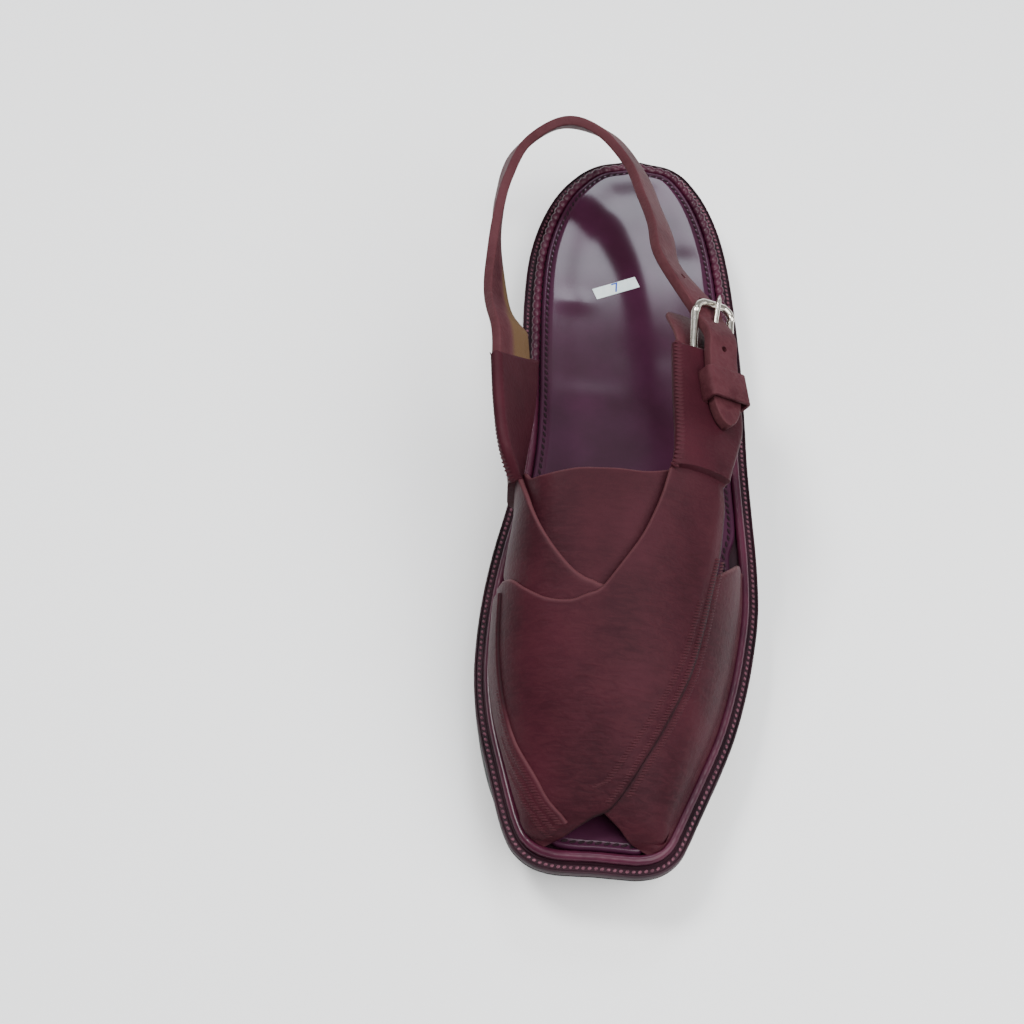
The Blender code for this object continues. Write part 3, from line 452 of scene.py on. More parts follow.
def closedSheet(name, low, high, slot, tone):
    # one leather wall between two grids of points
    rows, columns = low.shape[:2]
    count = rows * columns
    verts = np.vstack([low.reshape(-1, 3), high.reshape(-1, 3)])
    faces = gridFaces(rows, columns) + gridFaces(rows, columns, count, True)
    rim = list(range(columns)) + [i * columns + columns - 1 for i in range(1, rows)]
    rim += [(rows - 1) * columns + j for j in range(columns - 2, -1, -1)]
    rim += [i * columns for i in range(rows - 2, 0, -1)]
    for k, a in enumerate(rim):
        b = rim[(k + 1) % len(rim)]
        faces.append((a, count + a, count + b, b))
    addPiece(name, verts, faces, vampLeather, slot, np.r_[tone.ravel(), tone.ravel()])


def sheetNormals(grid):
    du = np.gradient(grid, axis=0)
    dv = np.gradient(grid, axis=1)
    n = np.cross(du, dv)
    n /= np.linalg.norm(n, axis=2)[..., None] + 1e-15
    middle = (grid.shape[0] // 2, grid.shape[1] // 2)
    if n[middle] @ (grid[middle] - insidePoint) < 0:
        n = -n
    return n


def standingNormals(grid):
    # level beside the welt, so that the wall meets it squarely
    n = sheetNormals(grid)
    inward = nearRing(grid[..., :2], featherRing)[1]
    level = np.concatenate([-inward, np.zeros_like(inward[..., :1])], -1)
    upright = riseAboveWelt(grid)[..., None]
    n = n * upright + level * (1 - upright)
    return n / (np.linalg.norm(n, axis=2)[..., None] + 1e-15)


def roundedOffsets(inner, outer, distance, radius):
    # ease both faces together towards an edge
    d = np.clip(distance / radius, 0, 1)
    f = np.sqrt(1 - (1 - d) ** 2) * (1 - bands["rimShare"]) + bands["rimShare"]
    middle = (inner + outer) / 2
    half = (outer - inner) / 2
    return middle - half * f, middle + half * f


bands = {
    "rows": 110,
    "columns": 54,
    "edgeSteps": (0.0, 0.00012, 0.0003, 0.0006, 0.0010, 0.0015, 0.0022),  # close points by each edge
    "narrowest": 0.008,
    "rimShare": 0.04,  # of the wall left at its very edge
    "tabLead": 2 / 23,  # of the band's rows, where the folded end's curve starts
    "tabRows": 34,
    "tabStarts": (0.0003, 0.0006, 0.0008, 0.0010, 0.0012, 0.0015),
    "tabEnds": (0.0019, 0.0013, 0.0008, 0.0004, 0.00015, 0.0),
    "tabInside": (0.0021, 0.0025),
    "tabStep": 0.0024,
    "tabRise": (0.0006, 0.0006),
    "edgeRadius": 0.0008,
    "tabRadius": 0.0022,
    "toneWidth": 0.0008,
    "seamWidth": 0.0013,
    "skiveWidth": 0.0042,
    "skiveStep": 0.0004,
    "aboveWelt": 0.0001,
    "footRows": 9,
    "footDraw": 0.0062,
    "footLift": 0.0024,
    "footPasses": 14,
    "overBead": 0.0008,
    "crossingRow": 14,  # the outer band's edge lies on the inner one from here
    "crossingColumn": 4,
    "crossingShadowTone": 0.9,
    "crossingShadowWidth": 0.0022,
}
outerBandFront = (
    (0.030, -0.42), (0.037, -0.20), (0.046, -0.06), (0.057, 0.01), (0.084, 0.15), (0.123, 0.305),
    (0.160, 0.405), (0.204, 0.49), (0.254, 0.54), (0.300, 0.565), (0.345, 0.58), (0.380, 0.565),
    (0.402, 0.50),
)
outerBandRear = (
    (0.306, -1.00), (0.298, -0.80), (0.287, -0.56), (0.271, -0.385), (0.258, -0.21), (0.256, -0.07),
    (0.264, 0.00), (0.273, 0.048), (0.300, 0.12), (0.332, 0.18), (0.369, 0.212), (0.402, 0.21),
)
outerBandSole = (
    (0.030, -0.42), (0.030, -0.62), (0.030, -0.82), (0.030, -1.00), (0.046, -1.00), (0.070, -1.00),
    (0.105, -1.00), (0.150, -1.00), (0.205, -1.00), (0.255, -1.00), (0.306, -1.00),
)
innerBandFront = (
    (0.030, 0.44), (0.036, 0.20), (0.045, 0.08), (0.057, 0.00), (0.085, -0.09), (0.130, -0.15),
    (0.190, -0.24), (0.245, -0.42), (0.285, -0.66), (0.315, -0.84), (0.355, -0.93), (0.404, -0.96),
)
innerBandRear = (
    (0.366, 1.00), (0.356, 0.85), (0.333, 0.69), (0.312, 0.56), (0.290, 0.38), (0.276, 0.20),
    (0.273, 0.048), (0.284, -0.04), (0.304, -0.14), (0.333, -0.275), (0.367, -0.45), (0.404, -0.68),
)
innerBandSole = (
    (0.030, 0.44), (0.030, 0.62), (0.030, 0.81), (0.030, 1.00), (0.046, 1.00), (0.070, 1.00),
    (0.110, 1.00), (0.170, 1.00), (0.235, 1.00), (0.300, 1.00), (0.366, 1.00),
)
# Folded ends: front edge then rear edge, each across, along and up from the welt
buckleTab = (
    (0.394, 0.474, 0.610, 0.150, 0.438, 0.880),
    (0.386, 0.526, 0.595, 0.142, 0.498, 0.860),
    (0.370, 0.584, 0.580, 0.136, 0.564, 0.840),
)
slingTab = (
    (-0.330, 0.465, 0.360, -0.385, 0.425, 0.820),
    (-0.309, 0.525, 0.430, -0.424, 0.480, 0.850),
    (-0.309, 0.590, 0.480, -0.452, 0.545, 0.860),
)
panelTop = (
    (0.049, -0.155), (0.067, -0.335), (0.087, -0.43), (0.122, -0.59), (0.157, -0.645),
    (0.195, -0.66), (0.240, -0.66), (0.278, -0.66),
)
panelFoot = (
    (0.036, -0.42), (0.036, -0.93), (0.070, -0.97), (0.125, -0.97), (0.180, -0.97), (0.240, -0.97),
    (0.290, -0.97),
)
tongueTop = (
    (0.418, -0.76), (0.396, -0.55), (0.390, -0.32), (0.392, -0.12), (0.398, 0.02), (0.398, 0.13),
    (0.404, 0.22), (0.414, 0.30),
)
tongueFront = (
    (0.225, -0.50), (0.215, -0.25), (0.213, 0.00), (0.218, 0.18), (0.230, 0.34),
)


def alongRows(rows, shares):
    # points along table rows, as closely spaced as the rows are
    rows = np.asarray(rows, float)
    wanted = shares * (len(rows) - 1)
    return np.stack([np.interp(wanted, np.arange(len(rows)), rows[:, i]) for i in (0, 1)], -1)


def edgeShares(width, columns):
    # shares across each row, close together by both edges
    steps = np.array(bands["edgeSteps"])
    near = steps[None, :] / width[:, None]
    inside = np.linspace(0, 1, columns - 2 * len(steps) + 2)[1:-1]
    last = near[:, -1:]
    middle = last + (1 - 2 * last) * inside[None, :]
    return np.concatenate([near, middle, 1 - near[:, ::-1]], 1)


def coonsPlaces(front, rear, sole, end, rows, columns):
    front = smoothLine(np.asarray(front) * placeScale, rows) / placeScale
    rear = smoothLine(np.asarray(rear) * placeScale, rows) / placeScale
    width = np.linalg.norm(np.diff(lastPoint(front[:, None] + (rear - front)[:, None]
                                             * np.linspace(0, 1, 9)[None, :, None]), axis=1),
                           axis=2).sum(axis=1)
    width = np.maximum(width, bands["narrowest"])
    v = edgeShares(width, columns)[..., None]
    u = np.linspace(0, 1, rows)[:, None, None]
    ruled = ((1 - v) * front[:, None] + v * rear[:, None] + (1 - u) * alongRows(sole, v[..., 0])
             + u * alongRows(end, v[..., 0]))
    corners = ((1 - u) * (1 - v) * front[0] + (1 - u) * v * rear[0]
               + u * (1 - v) * front[-1] + u * v * rear[-1])
    return ruled - corners, v[..., 0], width


def tabGrid(grid, table, v):
    # carry each column on through the folded end
    size = np.array([shoe["ballWidth"], shoe["length"], shoe["instepHeight"]])
    base = np.array([0, toeTip, shoe["soleHeight"]])
    known = [grid[-1 - round((len(grid) - 1) * bands["tabLead"])], grid[-1]]
    for row in table:
        front = np.array(row[:3]) * size + base
        rear = np.array(row[3:]) * size + base
        known.append((1 - v[:, None]) * front + v[:, None] * rear)
    known = np.stack(known)
    lines = []
    travel = []
    first, last = bands["tabInside"]
    for j in range(known.shape[1]):
        dense = smoothLine(known[:, j], 240, 40)
        fold = np.linalg.norm(dense - grid[-1, j], axis=1).argmin()
        tail = np.vstack([grid[-1, j], dense[fold + 2:]])
        step = np.r_[0, np.cumsum(np.linalg.norm(np.diff(tail, axis=0), axis=1))]
        wanted = np.r_[bands["tabStarts"], np.linspace(first, step[-1] - last, bands["tabRows"]),
                       step[-1] - np.array(bands["tabEnds"])]
        lines.append(np.stack([np.interp(wanted, step, tail[:, i]) for i in range(3)], 1))
        travel.append(np.stack([wanted, step[-1] - wanted]))
    return np.stack(lines, 1), np.stack(travel, -1)


beadInner = fineRing(shoe["rimWidth"] + shoe["beadDiameter"] - bands["overBead"])


def makeBand(name, front, rear, sole, tab, standOff, frontTone, seamLine=None):
    places, v, width = coonsPlaces(front, rear, sole, (front[-1], rear[-1]), bands["rows"],
                                   bands["columns"])
    grid = lastPoint(places)
    more, (fromFold, toEnd) = tabGrid(grid, tab, v[-1])
    full = np.concatenate([grid, more])
    tabWidth = np.linalg.norm(more[:, -1] - more[:, 0], axis=1)
    width = np.r_[width, tabWidth]
    shares = np.concatenate([v, np.repeat(v[-1:], len(more), axis=0)])
    inner = np.concatenate([standOff * riseAboveWelt(grid), np.full(more.shape[:2], standOff)])
    riseStart, riseRun = bands["tabRise"]
    fold = bands["tabStep"] * easeUp((fromFold - riseStart) / riseRun)
    outer = inner + shoe["wall"]
    outer[len(grid):] += fold
    if frontTone:
        skive = 1 - easeUp(shares * width[:, None] / bands["skiveWidth"])
        skive[len(grid):] = 0
        outer -= (shoe["lap"] - bands["skiveStep"]) * skive * np.minimum(inner / shoe["lap"], 1)
    side = np.minimum(shares, 1 - shares) * width[:, None]
    radius = np.full(len(full), bands["edgeRadius"])
    radius[len(grid) + 2:] = bands["tabRadius"]
    distance = side / radius[:, None]
    distance[len(grid):] = np.minimum(distance[len(grid):], toEnd / bands["tabRadius"])
    inner, outer = roundedOffsets(inner, outer, distance, 1.0)
    n = standingNormals(full)
    low = full + n * inner[..., None]
    high = full + n * outer[..., None]
    for wall in (low, high):
        wall[..., 2] = np.maximum(wall[..., 2], weltTop(wall[..., 1]) + bands["aboveWelt"])
    # the foot is drawn out on to the bead
    foot = high[0].copy()
    reach = np.zeros_like(foot)
    reach[:, :2] = nearRing(foot[:, :2], beadInner)[0] - foot[:, :2]
    reach[:, 2] = weltTop(foot[:, 1]) + bands["footLift"] - foot[:, 2]
    for _ in range(bands["footPasses"]):
        reach[1:-1] = (reach[:-2] + 2 * reach[1:-1] + reach[2:]) / 4
    travel = np.linalg.norm(np.diff(high[:bands["footRows"]], axis=0), axis=2)
    travel = np.vstack([np.zeros_like(foot[:, 0]), np.cumsum(travel, axis=0)])
    high[:bands["footRows"]] += (1 - easeUp(travel / bands["footDraw"]))[..., None] * reach
    # pale rear cut edge, partly painted highlight; a frontTone below zero paints a shadow along the
    # front edge
    rearSide = (1 - shares) * width[:, None]
    frontSide = shares * width[:, None]
    tone = (1 - easeUp(rearSide / bands["toneWidth"])
            + frontTone * (1 - easeUp(frontSide / bands["seamWidth"])))
    tone[len(grid):] = 0
    if seamLine is not None:
        # painted shadow where the other band's edge lies on this one
        flat = high[:len(grid)].reshape(-1, 3)
        gapTo = np.concatenate([np.linalg.norm(part[:, None] - seamLine[None], axis=2).min(axis=1)
                                for part in np.array_split(flat, 12)]).reshape(grid.shape[:2])
        tone[:len(grid)] -= bands["crossingShadowTone"] * (1 - easeUp(gapTo / bands["crossingShadowWidth"]))
    closedSheet(name, low, high, "upper", tone)
    return {"grid": full, "normals": n, "shares": shares, "tabStart": len(grid), "standOff": standOff,
            "high": high}


# -1.0 paints a shadow along the outer band's front edge
outerBand = makeBand("upper_outer_band", outerBandFront, outerBandRear, outerBandSole, buckleTab,
                     shoe["lap"], -1.0)
seamEdge = outerBand["high"][bands["crossingRow"]:outerBand["tabStart"], bands["crossingColumn"]]
innerBand = makeBand("upper_inner_band", innerBandFront, innerBandRear, innerBandSole, slingTab, 0.0,
                     0.0, seamEdge)

# Seam panel: its cut edge is painted pale as a highlight at the toe and painted dark as shade further
# back
panel = {"rows": 90, "columns": 34, "step": 0.0010, "edgeWidth": 0.0009, "edgeHeight": 0.35,
         "toneWidth": 0.0008, "toeTone": 0.9, "toneFall": 1.6, "fallStart": 0.125, "fallRun": 0.05}
panelPlaces, panelShare, panelWidth = coonsPlaces(
    panelTop, panelFoot, (panelTop[0], panelFoot[0]), (panelTop[-1], panelFoot[-1]), panel["rows"],
    panel["columns"])
panelGrid = lastPoint(panelPlaces)
panelRise = riseAboveWelt(panelGrid)
panelInner = shoe["lap"] * panelRise + 0.5 * shoe["wall"]
panelOuter = shoe["lap"] * panelRise + shoe["wall"] + panel["step"] * easeUp(panelRise * 4)
panelEdge = np.minimum(panelShare * panelWidth[:, None] / panel["edgeWidth"], 1)
panelOuter = panelInner + (panelOuter - panelInner) * (
    panel["edgeHeight"] + (1 - panel["edgeHeight"]) * np.sqrt(1 - (1 - panelEdge) ** 2))
panelNormals = standingNormals(panelGrid)
panelTone = 1 - easeUp(panelShare * panelWidth[:, None] / panel["toneWidth"])
panelTone *= panel["toeTone"] - panel["toneFall"] * easeUp(
    (panelPlaces[..., 0] - panel["fallStart"]) / panel["fallRun"])
closedSheet("upper_seam_panel", panelGrid + panelNormals * panelInner[..., None],
            panelGrid + panelNormals * panelOuter[..., None], "upper", panelTone)

tongue = {"wall": 0.0017, "rows": 60, "columns": 60, "endShares": (0.010, 0.006, 0.003, 0.0012, 0.0),
          "run": 0.055, "edgeRadius": 0.0007, "toneWidth": 0.0010}
medialTongue = (tongueFront[0], (0.30, -0.62), tongueTop[0])
lateralTongue = (tongueFront[-1], (0.31, 0.36), tongueTop[-1])
tongueU = np.linspace(0, 1, tongue["rows"])
tongueU = np.r_[tongueU[:-1], 1 - np.array(tongue["endShares"])]
frontLine = smoothLine(tongueFront, 400)
topLine = smoothLine(tongueTop, 400)
sideLines = [smoothLine(line, 400) for line in (medialTongue, lateralTongue)]
tongueV = np.linspace(0, 1, tongue["columns"])


def sampled(line, shares):
    return np.stack([np.interp(shares, np.linspace(0, 1, len(line)), line[:, i]) for i in (0, 1)], -1)


ug = tongueU[:, None, None]
vg = tongueV[None, :, None]
medialSide, lateralSide = [sampled(line, tongueU)[:, None] for line in sideLines]
frontSide, topSide = [sampled(line, tongueV)[None] for line in (frontLine, topLine)]
tonguePlaces = ((1 - vg) * medialSide + vg * lateralSide + (1 - ug) * frontSide + ug * topSide
                - ((1 - ug) * (1 - vg) * frontLine[0] + (1 - ug) * vg * frontLine[-1]
                   + ug * (1 - vg) * topLine[0] + ug * vg * topLine[-1]))
tongueGrid = lastPoint(tonguePlaces)
tongueInner = np.full(tongueGrid.shape[:2], -shoe["gap"] - tongue["wall"])
tongueOuter = np.full(tongueGrid.shape[:2], -shoe["gap"])
tongueEdge = (1 - tongueU)[:, None] * tongue["run"] + np.zeros_like(tongueInner)
tongueInner, tongueOuter = roundedOffsets(tongueInner, tongueOuter, tongueEdge, tongue["edgeRadius"])
tongueNormals = sheetNormals(tongueGrid)
# pale top cut edge, partly painted highlight
closedSheet("tongue_leather", tongueGrid + tongueNormals * tongueInner[..., None],
            tongueGrid + tongueNormals * tongueOuter[..., None], "tongue",
            1 - easeUp(tongueEdge / tongue["toneWidth"]))
print("stage: bands, panel and tongue made")


# Sole plates
def ringAt(inset, height):
    flat = fineRing(inset)
    return np.column_stack([flat, height(flat[:, 1])])


def loopWalls(loops, count, closed=False):
    # faces between loops of points that follow each other
    faces = []
    for i in range(loops if closed else loops - 1):
        k = (i + 1) % loops
        for j in range(count):
            m = (j + 1) % count
            faces.append((i * count + j, i * count + m, k * count + m, k * count + j))
    return faces


def loopCap(base, count):
    # faces across a loop whose two halves mirror each other
    half = count // 2
    faces = [(base, base + 1, base + count - 1)]
    for i in range(1, half - 1):
        faces.append((base + i, base + i + 1, base + count - i - 1, base + count - i))
    return faces + [(base + half - 1, base + half, base + half + 1)]


def stackedPlate(name, rings, finish, slot):
    count = len(rings[0])
    faces = loopWalls(len(rings), count) + loopCap(0, count) + loopCap((len(rings) - 1) * count, count)
    addPiece(name, np.vstack(rings), faces, finish, slot, None, 35)


coarseY = coarseRing(0.0)[:, 1]
tuck = shoe["toeTuck"] * easeUp((0.12 - (coarseY - toeTip) / shoe["length"]) / 0.12)


def rubberTop(y):
    return weltTop(y) - shoe["midsoleThickness"] - shoe["gap"]


def blendHeight(share):
    return lambda y: treadHeight(y) * (1 - share) + rubberTop(y) * share


# Rings from the tread up: inset, height
bevel = shoe["edgeBevel"]
outsoleRings = [
    ringAt(bevel + tuck, treadHeight),
    ringAt(0.45 * bevel + 0.95 * tuck, lambda y: treadHeight(y) + 0.4 * bevel),
    ringAt(0.25 * bevel + 0.9 * tuck, lambda y: treadHeight(y) + bevel),
    ringAt(0.12 * bevel + 0.55 * tuck, blendHeight(0.45)),
    ringAt(0.0 + 0.22 * tuck, blendHeight(0.74)),
    ringAt(0.0005 + 0.2 * tuck, blendHeight(0.76)),
    ringAt(0.0005 + 0.17 * tuck, blendHeight(0.79)),
    ringAt(0.0 + 0.15 * tuck, blendHeight(0.81)),
    ringAt(0.0, lambda y: rubberTop(y) - 0.0003),
    ringAt(0.0003, rubberTop),
]
stackedPlate("outsole_rubber", outsoleRings, treadRubber, "outsole")
stitchChannel = {"outer": 0.0006, "inner": 0.0030, "slope": 0.0004, "depth": 0.00045}


def channelFloor(y):
    return weltTop(y) - stitchChannel["depth"]


weltRings = [
    ringAt(0.0004, lambda y: weltTop(y) - shoe["midsoleThickness"]),
    ringAt(0.0, lambda y: weltTop(y) - shoe["midsoleThickness"] + 0.0004),
    ringAt(0.0, lambda y: weltTop(y) - 0.0005),
    ringAt(0.0002, lambda y: weltTop(y) - 0.00012),
    ringAt(stitchChannel["outer"], weltTop),
    ringAt(stitchChannel["outer"] + stitchChannel["slope"], channelFloor),
    ringAt(stitchChannel["inner"] - stitchChannel["slope"], channelFloor),
    ringAt(stitchChannel["inner"], weltTop),
]
stackedPlate("welt_board", weltRings, weltBoard, "midsole")


def insoleTop(y):
    return weltTop(y) + shoe["gap"] + shoe["insoleThickness"]


# Ripples from pasting: across, along, half widths and rise
footbed = {"columns": 40, "cup": 0.0007, "cupStart": 0.003, "cupRun": 0.014, "edgeDrop": 0.0011,
           "grooveDepth": 0.00025,
           "openMedial": (0.335, 0.04), "openLateral": (0.395, 0.03), "openToe": (0.016, 0.010),
           "openToeSide": (0.0185, 0.006),
           "ripples": ((-0.0285, -0.045, 0.0022, 0.012, 0.00035),
                       (-0.019, -0.034, 0.006, 0.004, 0.00030),
                       (0.022, -0.012, 0.010, 0.006, -0.00022), (-0.010, -0.075, 0.016, 0.005, 0.00018),
                       (0.012, -0.055, 0.012, 0.007, -0.00018), (0.000, 0.010, 0.014, 0.008, 0.00020))}
# beside the bead where no band stands between, at the heel and in the toe opening
coarseFlat = coarseRing(0.0)
coarseShare = (coarseFlat[:, 1] - toeTip) / shoe["length"]
medialOpen, lateralOpen = [easeUp((coarseShare - start) / run)
                           for start, run in (footbed["openMedial"], footbed["openLateral"])]
toeOpen, toeSideOpen = [easeUp((start - value) / run) for value, (start, run) in (
    (coarseShare, footbed["openToe"]), (np.abs(coarseFlat[:, 0]), footbed["openToeSide"]))]
openEdge = np.maximum(np.where(coarseFlat[:, 0] < 0, medialOpen, lateralOpen), toeOpen * toeSideOpen)
footEdge = insoleInset - (insoleInset - shoe["rimWidth"] - shoe["beadDiameter"] - shoe["gap"]) * openEdge


def footHeight(flat):
    inside = nearRing(flat, fineRing(footEdge))[0] - flat
    depth = np.linalg.norm(inside, axis=-1)
    cupShare = easeUp((depth - footbed["cupStart"]) / footbed["cupRun"])
    z = insoleTop(flat[..., 1]) - footbed["cup"] * cupShare
    for x, y, wide, long, rise in footbed["ripples"]:
        z = z + rise * np.exp(-((flat[..., 0] - x) / wide) ** 2 - ((flat[..., 1] - y) / long) ** 2)
    return z


def makeInsole():
    drop = footbed["edgeDrop"]
    groove = footbed["grooveDepth"]
    rings = [ringAt(footEdge, lambda y: weltTop(y) + shoe["gap"])]
    for inset, down in ((0.0, drop), (0.0003, 0.45 * drop), (0.0008, 0.1 * drop), (0.0012, 0.0),
                        (0.0016, groove), (0.0026, groove), (0.0030, 0.0)):
        rings.append(ringAt(footEdge + inset, lambda y: insoleTop(y) - down))
    count = len(rings[0])
    half = count // 2
    verts = [tuple(v) for ring in rings for v in ring]
    faces = loopWalls(len(rings), count) + loopCap(0, count)
    top = (len(rings) - 1) * count
    columns = footbed["columns"]
    shares = np.linspace(0, 1, columns + 1)[1:-1]
    rows = [[top]]
    for i in range(1, half):
        left, right = rings[-1][i, :2], rings[-1][count - i, :2]
        flat = left + (right - left) * shares[:, None]
        first = len(verts)
        verts += [(x, y, z) for (x, y), z in zip(flat, footHeight(flat))]
        rows.append([top + i] + list(range(first, first + columns - 1)) + [top + count - i])
    rows.append([top + half])
    for upper, lower in zip(rows[:-1], rows[1:]):
        for j in range(columns):
            if len(upper) == 1:
                faces.append((upper[0], lower[j], lower[j + 1]))
            elif len(lower) == 1:
                faces.append((upper[j], upper[j + 1], lower[0]))
            else:
                faces.append((upper[j], upper[j + 1], lower[j + 1], lower[j]))
    piece = addPiece("insole_lining", verts, faces, insoleLeather, "insole", None, 60)


makeInsole()
print("stage: sole plates made")


def frameAlong(points, closed):
    # unit steps along a line of points
    if closed:
        step = np.roll(points, -1, axis=0) - np.roll(points, 1, axis=0)
    else:
        step = np.gradient(points, axis=0)
    return step / np.linalg.norm(step, axis=1)[:, None]


def sweptTube(name, points, radii, upward, sides, closed, finish, slot):
    along = frameAlong(points, closed)
    side = np.cross(along, upward)
    side /= np.linalg.norm(side, axis=1)[:, None]
    up = np.cross(side, along)
    turn = np.linspace(0, 2 * math.pi, sides, endpoint=False)
    ring = (side[:, None] * np.cos(turn)[None, :, None] + up[:, None] * np.sin(turn)[None, :, None])
    verts = (points[:, None] + ring * radii[:, None, None]).reshape(-1, 3)
    faces = loopWalls(len(points), sides, closed)
    if not closed:
        faces.append(tuple(range(sides)))
        faces.append(tuple(range((len(points) - 1) * sides, len(points) * sides)))
    addPiece(name, verts, faces, finish, slot, None, 70)


# Bead: its pleats are faint along the bands and deepen round the heel
bead = {"sides": 14, "points": 900, "pleat": 0.13, "pleatLength": 0.0036, "faint": 0.12,
        "deepenFrom": 0.50, "deepenRun": 0.25, "heave": 0.00015, "clearance": 0.3 * shoe["gap"]}
beadRing = ringAt(shoe["rimWidth"] + shoe["beadDiameter"] / 2,
                  lambda y: weltTop(y) + bead["clearance"] + shoe["beadDiameter"] / 2)
beadLine = evenLine(np.vstack([beadRing, beadRing[:1]]), bead["points"] + 1)[:-1]
beadTravel = np.arange(bead["points"]) * np.linalg.norm(beadLine[1] - beadLine[0])
heelShare = easeUp(((beadLine[:, 1] - toeTip) / shoe["length"] - bead["deepenFrom"]) / bead["deepenRun"])
pleats = np.sin(2 * math.pi * beadTravel / bead["pleatLength"])
pleatDepth = bead["pleat"] * (bead["faint"] + (1 - bead["faint"]) * heelShare)
beadRadii = shoe["beadDiameter"] / 2 * (1 + pleatDepth * pleats)
beadLine = beadLine + np.stack([0 * pleats, 0 * pleats, bead["heave"] * heelShare * pleats], 1)
sweptTube("bead_roll", beadLine, beadRadii, np.array([[0, 0, 1.0]]), bead["sides"], True, beadLeather,
          "bead")


# Stitches: one is modelled, then laid along a line
def modelStitch():
    bpy.ops.object.select_all(action="DESELECT")
    bpy.ops.mesh.primitive_uv_sphere_add(segments=8, ring_count=6, radius=1.0)
    stitch = bpy.context.object
    bpy.ops.object.mode_set(mode="EDIT")
    bpy.ops.mesh.select_all(action="SELECT")
    bpy.ops.transform.resize(value=(1.0, 1.0, 0.92))
    bpy.ops.object.mode_set(mode="OBJECT")
    verts = np.array([v.co[:] for v in stitch.data.vertices])
    faces = [tuple(p.vertices) for p in stitch.data.polygons]
    bpy.data.objects.remove(stitch, do_unlink=True)
    return verts, faces


stitchVerts, stitchFaces = modelStitch()


def layStitches(name, points, along, normal, size, finish, slant=0.0, tone=None):
    # size: half length, half width, half height
    across = np.cross(normal, along)
    across /= np.linalg.norm(across, axis=1)[:, None]
    c, s = math.cos(slant), math.sin(slant)
    a = along * c + across * s
    b = across * c - along * s
    verts = (points[:, None] + a[:, None] * stitchVerts[None, :, :1] * size[0]
             + b[:, None] * stitchVerts[None, :, 1:2] * size[1]
             + normal[:, None] * stitchVerts[None, :, 2:] * size[2]).reshape(-1, 3)
    count = len(stitchVerts)
    faces = [tuple(k * count + i for i in face) for k in range(len(points)) for face in stitchFaces]
    shade = None if tone is None else np.full(len(verts), tone)
    addPiece(name, verts, faces, finish, None, shade, 80)


def spacedAlong(line, spacing, closed=False):
    if closed:
        line = np.vstack([line, line[:1]])
    length = np.linalg.norm(np.diff(line, axis=0), axis=1).sum()
    count = max(2, int(round(length / spacing)) + 1)
    points = evenLine(line, count)
    if closed:
        points = points[:-1]
    return points, frameAlong(points, closed)


stitching = {
    "rimSpacing": 0.0019, "rimSize": (0.00070, 0.00050, 0.00034), "rimInset": 0.0018,
    "rimLift": 0.0001, "rimSlant": 0.5,
    "grooveSpacing": 0.0026, "grooveSize": (0.0012, 0.00045, 0.00022), "grooveInset": 0.0021,
    "grooveLift": 0.00012, "grooveSlant": 0.35,
    # ribTone and tabRibTone tint the ribs pale, a painted highlight
    "ribSpacing": 0.00100, "ribSize": (0.00130, 0.00040, 0.00026), "ribTone": 0.18,
    "ribSink": 0.00004, "ribLift": 0.00042, "ribAcross": (1.0, 0.12, 0.0),
    "tabRibSpacing": 0.0015, "tabRibSize": (0.00150, 0.00060, 0.00018), "tabRibTone": 0.12,
    "tabRibInset": 3,
}
rimLine = ringAt(stitching["rimInset"], lambda y: channelFloor(y) + stitching["rimLift"])
grooveLine = ringAt(footEdge + stitching["grooveInset"],
                    lambda y: insoleTop(y) - footbed["grooveDepth"] + stitching["grooveLift"])
for name, line, kind, finish, slot in (
        ("welt_stitches", rimLine, "rim", paleThread, "midsole"),
        ("insole_groove_stitches", grooveLine, "groove", plumThread, "insole")):
    points, along = spacedAlong(line, stitching[kind + "Spacing"], True)
    upright = np.tile([0, 0, 1.0], (len(points), 1))
    layStitches(name, points, along, upright, stitching[kind + "Size"], finish,
                stitching[kind + "Slant"])


def shiftedPlaces(line, shift):
    # move places on the last sideways by a distance along its surface
    line = smoothLine(np.asarray(line) * placeScale, 160) / placeScale
    p = lastPoint(line)
    n = lastNormal(line)
    along = frameAlong(p, False)
    side = np.cross(n, along) * shift
    ds = (lastPoint(line + (0.002, 0)) - lastPoint(line - (0.002, 0))) / 0.004
    dt = (lastPoint(line + (0, 0.01)) - lastPoint(line - (0, 0.01))) / 0.02
    a, b, c = (ds * ds).sum(1), (ds * dt).sum(1), (dt * dt).sum(1)
    r, q = (ds * side).sum(1), (dt * side).sum(1)
    det = a * c - b * b + 1e-12
    return line + np.stack([(c * r - b * q) / det, (a * q - b * r) / det], 1)


def ribRow(name, line, shift, lift, spanFrom, spanTo):
    # small ribs across a row of hidden stitches, where the thread pulls the leather in; tinted pale as a
    # painted highlight
    places = shiftedPlaces(line, shift)
    p = lastPoint(places)
    n = lastNormal(places)
    rise = riseAboveWelt(p)
    p = p + n * (lift[0] * rise + lift[1])[:, None]
    first, last = int(spanFrom * len(p)), int(spanTo * len(p))
    points, along = spacedAlong(p[first:last], stitching["ribSpacing"])
    nearest = np.linalg.norm(points[:, None] - p[None], axis=2).argmin(axis=1)
    normal = n[nearest]
    across = np.array(stitching["ribAcross"])
    level = across - normal * (normal @ across)[:, None]
    level /= np.linalg.norm(level, axis=1)[:, None]
    layStitches(name, points, level, normal, stitching["ribSize"], vampLeather, 0.0,
                stitching["ribTone"])


